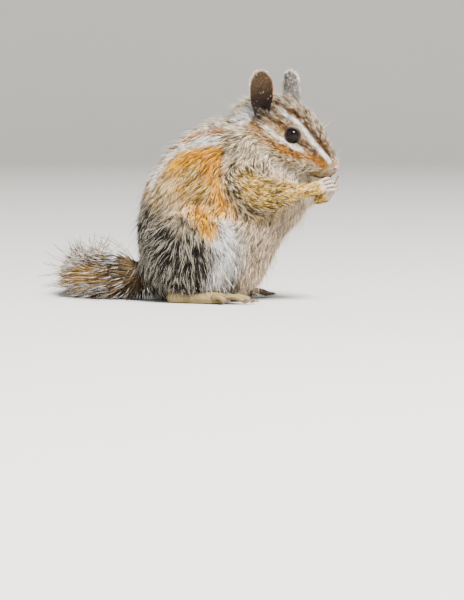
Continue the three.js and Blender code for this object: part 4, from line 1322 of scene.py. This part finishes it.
def make_nose(settings):
    """The bare pad at the tip of the nose, with a comma-shaped nostril on each side, drawn near black as painted shade
    in its opening.
    """
    bpy.ops.object.select_all(action="DESELECT")
    bpy.ops.mesh.primitive_uv_sphere_add(segments=40, ring_count=24, radius=1)
    nose = bpy.context.object
    nose.name = "nose_pad"
    points = coords(nose.data) * MM
    points[:, 0] = points[:, 0] * 1.15 - 0.85
    points[:, 1] = points[:, 1] * (1.62 + 0.25 * points[:, 2])
    points[:, 2] = points[:, 2] * 1.3 - 1.25
    front = np.clip((points[:, 0] + 1.2) / 1.2, 0, 1)
    cleft = np.exp(-((points[:, 1] / 0.28) ** 2)) * smoothstep(-0.9, -2.2, points[:, 2])
    points[:, 0] -= 0.28 * cleft * front
    for side in SIDES.values():
        hole = NOSTRIL * [1, side, 1] + [0.05, 0.05 * side, 0.15]
        near = points - hole
        curl = near[:, 2] - 0.5 * near[:, 1] * side
        off = np.hypot(near[:, 1] * 1.15, curl * 1.5)
        points[:, 0] -= 0.75 * np.exp(-((off / 0.42) ** 2)) * front
    put_coords(nose.data, from_head(points))
    bpy.ops.object.shade_smooth()
    skin = grained("nose_skin", {"Roughness": 0.38, "Specular IOR Level": 0.55, "Subsurface Weight": 0.15,
                                 "Subsurface Scale": 0.0008},
                   [[c * 0.72 for c in settings.nose_colour], settings.nose_colour], 5200, 0.6)
    finished(nose, skin)
    dark = grained("nostril_shade", {"Roughness": 0.7}, [(0.012, 0.007, 0.006), (0.035, 0.02, 0.016)], 4000)
    lines = []
    for side in SIDES.values():
        hole = NOSTRIL * [1, side, 1]
        curve = [hole + [-0.32, 0.52 * side, 0.42], hole + [-0.16, 0.2 * side, 0.22], hole + [-0.26, -0.16 * side, -0.02]]
        lines.append((from_head(curve), [0.1, 0.3, 0.16]))
    finished(tubes("nostrils", lines, 8), dark)


def make_mouth(settings):
    """The line between the lips, and the cleft that joins it to the nose, both drawn dark as painted shade in the gaps.
    """
    half = [np.array(p) for p in MOUTH_LINE]
    whole = half + [p * [1, -1, 1] for p in half[-2::-1]]
    line = smooth_line([on_skin(from_head(p))[0] for p in whole], 41)
    share = np.linspace(-1, 1, 41)
    lips = [(line, 0.30 * (1 - 0.75 * np.abs(share) ** 3))]
    cleft = [on_skin(from_head([-0.7 + 0.1 * k, 0, -2.7 - 0.65 * k]))[0] for k in range(5)]
    lips.append((cleft, [0.2, 0.22, 0.22, 0.22, 0.24]))
    dark = grained("mouth_shade_line", {"Roughness": 0.6}, [(0.035, 0.016, 0.013), (0.075, 0.036, 0.028)], 3500)
    finished(tubes("mouth_shade_line", lips, 8), dark)


WHISKER_ROWS = 4
WHISKERS_IN_ROW = 4


def make_whiskers(settings):
    """Stiff pale hairs in rows on each side of the muzzle, with a few above the eye."""
    draw = np.random.default_rng(17)
    longest = settings.whisker_length / MM
    lines = []
    for side in SIDES.values():
        roots = [([-3.2 - 1.45 * i, 9, -2.3 - 1.05 * row - 0.15 * i], (i + 1.6) / (WHISKERS_IN_ROW + 0.6), row)
                 for row in range(WHISKER_ROWS) for i in range(WHISKERS_IN_ROW)]
        roots += [([-15.5, 9, 6.9], 0.5, -2), ([-16.9, 9, 7.1], 0.42, -2)]
        for at, size, row in roots:
            place, normal = on_skin(from_head(np.array(at) * [1, side, 1]))
            outwards = unit(np.array([0.4, 0.9 * side, 0.30 - 0.17 * row]) + draw.normal(0, 0.07, 3))
            backwards = np.array([-0.8, 0.3 * side, 0.02 - 0.05 * row])
            length = longest * size * draw.uniform(0.88, 1.05)
            t = np.linspace(0, 1, 9)[:, None]
            path = outwards * t * 0.82 + backwards * t**2.2 * 0.42
            lines.append((place - normal * 0.3 + (path * length) @ HEAD_AXES.T, 0.042 * (1 - t[:, 0]) ** 0.7 + 0.008))
    pale = grained("whisker_hair", {"Roughness": 0.35, "Specular IOR Level": 0.5},
                   [(0.42, 0.38, 0.33), (0.75, 0.72, 0.68)], 700, 0.0)
    finished(tubes("whiskers", lines, 6), pale)


def curved_claw(base, direction, length, radius, up):
    """The line and radii of a claw that arches up and comes down to a point."""
    t = np.linspace(-0.35, 1, 8)
    arch = 4 * np.clip(t, 0, 1) * (1 - np.clip(t, 0, 1)) * length * 0.16
    line = base + np.outer(t * length, direction) + np.outer(arch, up)
    return line, radius * np.clip(1 - np.clip(t, 0, 1) ** 1.6, 0.1, 1)


def toe_claws(side, length):
    turned = turn_z(FOOT_SPLAY * side)
    for across, back, reach, yaw in TOES:
        yaw = math.radians(yaw)
        start = FOOT_LENGTH - 1.5 - back
        tip = np.array([start + reach * math.cos(yaw), (across + reach * math.sin(yaw)) * side, 1.2])
        direction = turned @ unit(np.array([math.cos(yaw), math.sin(yaw) * side, -0.12]))
        place = turned @ tip + [HEEL[0], HEEL[1] * side, 0]
        yield curved_claw(place, direction, length, 0.6, np.array([0, 0, 1.0]))


def finger_claws(side_name, length):
    for _, bend, tip, along in finger_bones(side_name):
        yield curved_claw(tip, unit(unit(tip - bend) - along * 0.2), length, 0.24, along)


def make_claws(settings):
    horn = grained("claw_horn", {"Roughness": 0.32, "Specular IOR Level": 0.5},
                   [settings.colour, [c * 3 for c in settings.colour]], 1500)
    for name, side in SIDES.items():
        feet = tubes(f"foot_claws_{name}", list(toe_claws(side, settings.foot_claw / MM)), 8)
        finished(feet, horn)
        hands = tubes(f"hand_claws_{name}", list(finger_claws(name, settings.hand_claw / MM)), 8)
        finished(hands, horn)


# Stage

VIEW_TURN = math.radians(10)
VIEW_RISE = math.radians(4)
VIEW_CENTRE = np.array([15.86, 2.8, 0.0])
FRAME_HEIGHT = 0.21
FILM = 36.0


def area_light(name, place, power, size, colour):
    light = bpy.data.lights.new(name, "AREA")
    light.energy = power
    light.size = size
    light.color = colour
    obj = linked(name, light)
    obj.location = place
    obj.rotation_euler = (Vector(place) - Vector((0.01, 0, 0.04))).to_track_quat("Z", "Y").to_euler()


def make_stage(settings):
    angles = np.linspace(0, math.pi / 2, 13)
    reach = [0.02, 0.5, 1.1, *(1.6 + 0.9 * np.sin(angles)), 2.5]
    height = [0, 0, 0, *(0.9 - 0.9 * np.cos(angles)), 2.4]
    around = np.linspace(0, 2 * math.pi, 97)[:-1]
    rings = [(r * math.cos(a), r * math.sin(a), z) for r, z in zip(reach, height) for a in around]
    faces = [tuple(range(96))]
    for k in range(len(reach) - 1):
        faces += [(96 * k + i, 96 * (k + 1) + i, 96 * (k + 1) + (i + 1) % 96, 96 * k + (i + 1) % 96) for i in range(96)]
    mesh = bpy.data.meshes.new("floor")
    mesh.from_pydata(rings, [], faces)
    floor = only(linked("floor", mesh))
    bpy.ops.object.shade_smooth()
    tone = settings.floor_colour
    floor.data.materials.append(grained("floor_matt", {"Roughness": 0.8}, [[c * 0.98 for c in tone], tone], 2, 0.0))
    world = bpy.data.worlds.new("pale_room")
    world.use_nodes = True
    world.node_tree.nodes["Background"].inputs["Color"].default_value = (0.86, 0.9, 0.95, 1)
    world.node_tree.nodes["Background"].inputs["Strength"].default_value = 0.42
    bpy.context.scene.world = world
    area_light("key_light", (0.5, -0.75, 1.2), settings.key_power, 0.4, (1.0, 0.96, 0.9))
    area_light("fill_light", (-0.9, -0.9, 0.6), settings.fill_power, 0.9, (0.92, 0.96, 1.0))
    area_light("back_light", (-0.3, 1.0, 0.9), settings.fill_power, 0.7, (1.0, 0.98, 0.95))
    towards = Vector((math.sin(VIEW_TURN) * math.cos(VIEW_RISE), -math.cos(VIEW_TURN) * math.cos(VIEW_RISE),
                      math.sin(VIEW_RISE)))
    lens = bpy.data.cameras.new("camera")
    lens.lens = FILM * settings.distance / FRAME_HEIGHT
    lens.sensor_width = FILM
    camera = linked("camera", lens)
    camera.location = Vector(VIEW_CENTRE * MM) + towards * settings.distance
    camera.rotation_euler = towards.to_track_quat("Z", "Y").to_euler()
    bpy.context.scene.camera = camera


# Operators, panel and registration

class CHIPMUNK_OT_skin(bpy.types.Operator):
    """Make the one skin that covers the whole body under the coat"""
    bl_idname = "chipmunk.skin"
    bl_label = "Skin"

    def execute(self, context):
        make_skin(context.scene.chipmunk_skin)
        return {"FINISHED"}


class CHIPMUNK_OT_body_coat(bpy.types.Operator):
    """Grow the coat of the trunk, neck, haunches and arms"""
    bl_idname = "chipmunk.body_coat"
    bl_label = "Body coat"

    def execute(self, context):
        make_coat(context.scene.chipmunk_coat, ["back", "neck", "haunch", "arm"])
        return {"FINISHED"}


class CHIPMUNK_OT_head_coat(bpy.types.Operator):
    """Grow the short striped coat of the head"""
    bl_idname = "chipmunk.head_coat"
    bl_label = "Head coat"

    def execute(self, context):
        make_coat(context.scene.chipmunk_coat, ["head"])
        return {"FINISHED"}


class CHIPMUNK_OT_down(bpy.types.Operator):
    """Grow the fine down of the ears, forepaws and hind feet"""
    bl_idname = "chipmunk.down"
    bl_label = "Ear and paw down"

    def execute(self, context):
        make_coat(context.scene.chipmunk_coat, ["down"])
        return {"FINISHED"}


class CHIPMUNK_OT_tail_coat(bpy.types.Operator):
    """Grow the long frosted brush of the tail"""
    bl_idname = "chipmunk.tail_coat"
    bl_label = "Tail brush"

    def execute(self, context):
        make_coat(context.scene.chipmunk_coat, ["tail"])
        return {"FINISHED"}


class CHIPMUNK_OT_eyes(bpy.types.Operator):
    """Make the dark glossy eyes with their bulging fronts"""
    bl_idname = "chipmunk.eyes"
    bl_label = "Eyes"

    def execute(self, context):
        make_eyes(context.scene.chipmunk_face)
        return {"FINISHED"}


class CHIPMUNK_OT_lids(bpy.types.Operator):
    """Make the bare dark rims of the upper and lower lids"""
    bl_idname = "chipmunk.lids"
    bl_label = "Lids"

    def execute(self, context):
        make_lids(context.scene.chipmunk_face)
        return {"FINISHED"}


class CHIPMUNK_OT_nose(bpy.types.Operator):
    """Make the nose pad and its nostrils"""
    bl_idname = "chipmunk.nose"
    bl_label = "Nose"

    def execute(self, context):
        make_nose(context.scene.chipmunk_face)
        return {"FINISHED"}


class CHIPMUNK_OT_mouth(bpy.types.Operator):
    """Draw the line of the mouth and the cleft of the upper lip"""
    bl_idname = "chipmunk.mouth"
    bl_label = "Mouth"

    def execute(self, context):
        make_mouth(context.scene.chipmunk_face)
        return {"FINISHED"}


class CHIPMUNK_OT_whiskers(bpy.types.Operator):
    """Set the whiskers in rows on the muzzle"""
    bl_idname = "chipmunk.whiskers"
    bl_label = "Whiskers"

    def execute(self, context):
        make_whiskers(context.scene.chipmunk_face)
        return {"FINISHED"}


class CHIPMUNK_OT_claws(bpy.types.Operator):
    """Make the claws of the hind feet and forepaws"""
    bl_idname = "chipmunk.claws"
    bl_label = "Claws"

    def execute(self, context):
        make_claws(context.scene.chipmunk_claws)
        return {"FINISHED"}


class CHIPMUNK_OT_stage(bpy.types.Operator):
    """Lay the pale floor and set the lights and the camera"""
    bl_idname = "chipmunk.stage"
    bl_label = "Stage"

    def execute(self, context):
        make_stage(context.scene.chipmunk_stage)
        return {"FINISHED"}


SETTINGS = {
    "chipmunk_skin": SkinSettings,
    "chipmunk_coat": CoatSettings,
    "chipmunk_face": FaceSettings,
    "chipmunk_claws": ClawSettings,
    "chipmunk_stage": StageSettings,
}
STEPS = [
    CHIPMUNK_OT_stage, CHIPMUNK_OT_skin, CHIPMUNK_OT_eyes, CHIPMUNK_OT_lids, CHIPMUNK_OT_nose, CHIPMUNK_OT_mouth,
    CHIPMUNK_OT_whiskers, CHIPMUNK_OT_claws, CHIPMUNK_OT_body_coat, CHIPMUNK_OT_head_coat, CHIPMUNK_OT_down,
    CHIPMUNK_OT_tail_coat,
]


class CHIPMUNK_PT_pieces(bpy.types.Panel):
    """The pieces of the chipmunk and their sizes and colours"""
    bl_idname = "CHIPMUNK_PT_pieces"
    bl_label = "Chipmunk"
    bl_space_type = "VIEW_3D"
    bl_region_type = "UI"
    bl_category = "Chipmunk"

    def draw(self, context):
        for step in STEPS:
            self.layout.operator(step.bl_idname)
        for key, group in SETTINGS.items():
            box = self.layout.box()
            for name in group.__annotations__:
                box.prop(getattr(context.scene, key), name)


def register():
    for group in SETTINGS.values():
        bpy.utils.register_class(group)
    for step in [*STEPS, CHIPMUNK_PT_pieces]:
        bpy.utils.register_class(step)
    for key, group in SETTINGS.items():
        setattr(bpy.types.Scene, key, PointerProperty(type=group))


def unregister():
    for key in SETTINGS:
        delattr(bpy.types.Scene, key)
    for made in [CHIPMUNK_PT_pieces, *reversed(STEPS), *SETTINGS.values()]:
        bpy.utils.unregister_class(made)


def main():
    register()
    bpy.ops.chipmunk.stage()
    bpy.ops.chipmunk.skin()
    bpy.ops.chipmunk.eyes()
    bpy.ops.chipmunk.lids()
    bpy.ops.chipmunk.nose()
    bpy.ops.chipmunk.mouth()
    bpy.ops.chipmunk.whiskers()
    bpy.ops.chipmunk.claws()
    bpy.ops.chipmunk.body_coat()
    bpy.ops.chipmunk.head_coat()
    bpy.ops.chipmunk.down()
    bpy.ops.chipmunk.tail_coat()


if __name__ == "__main__":
    main()
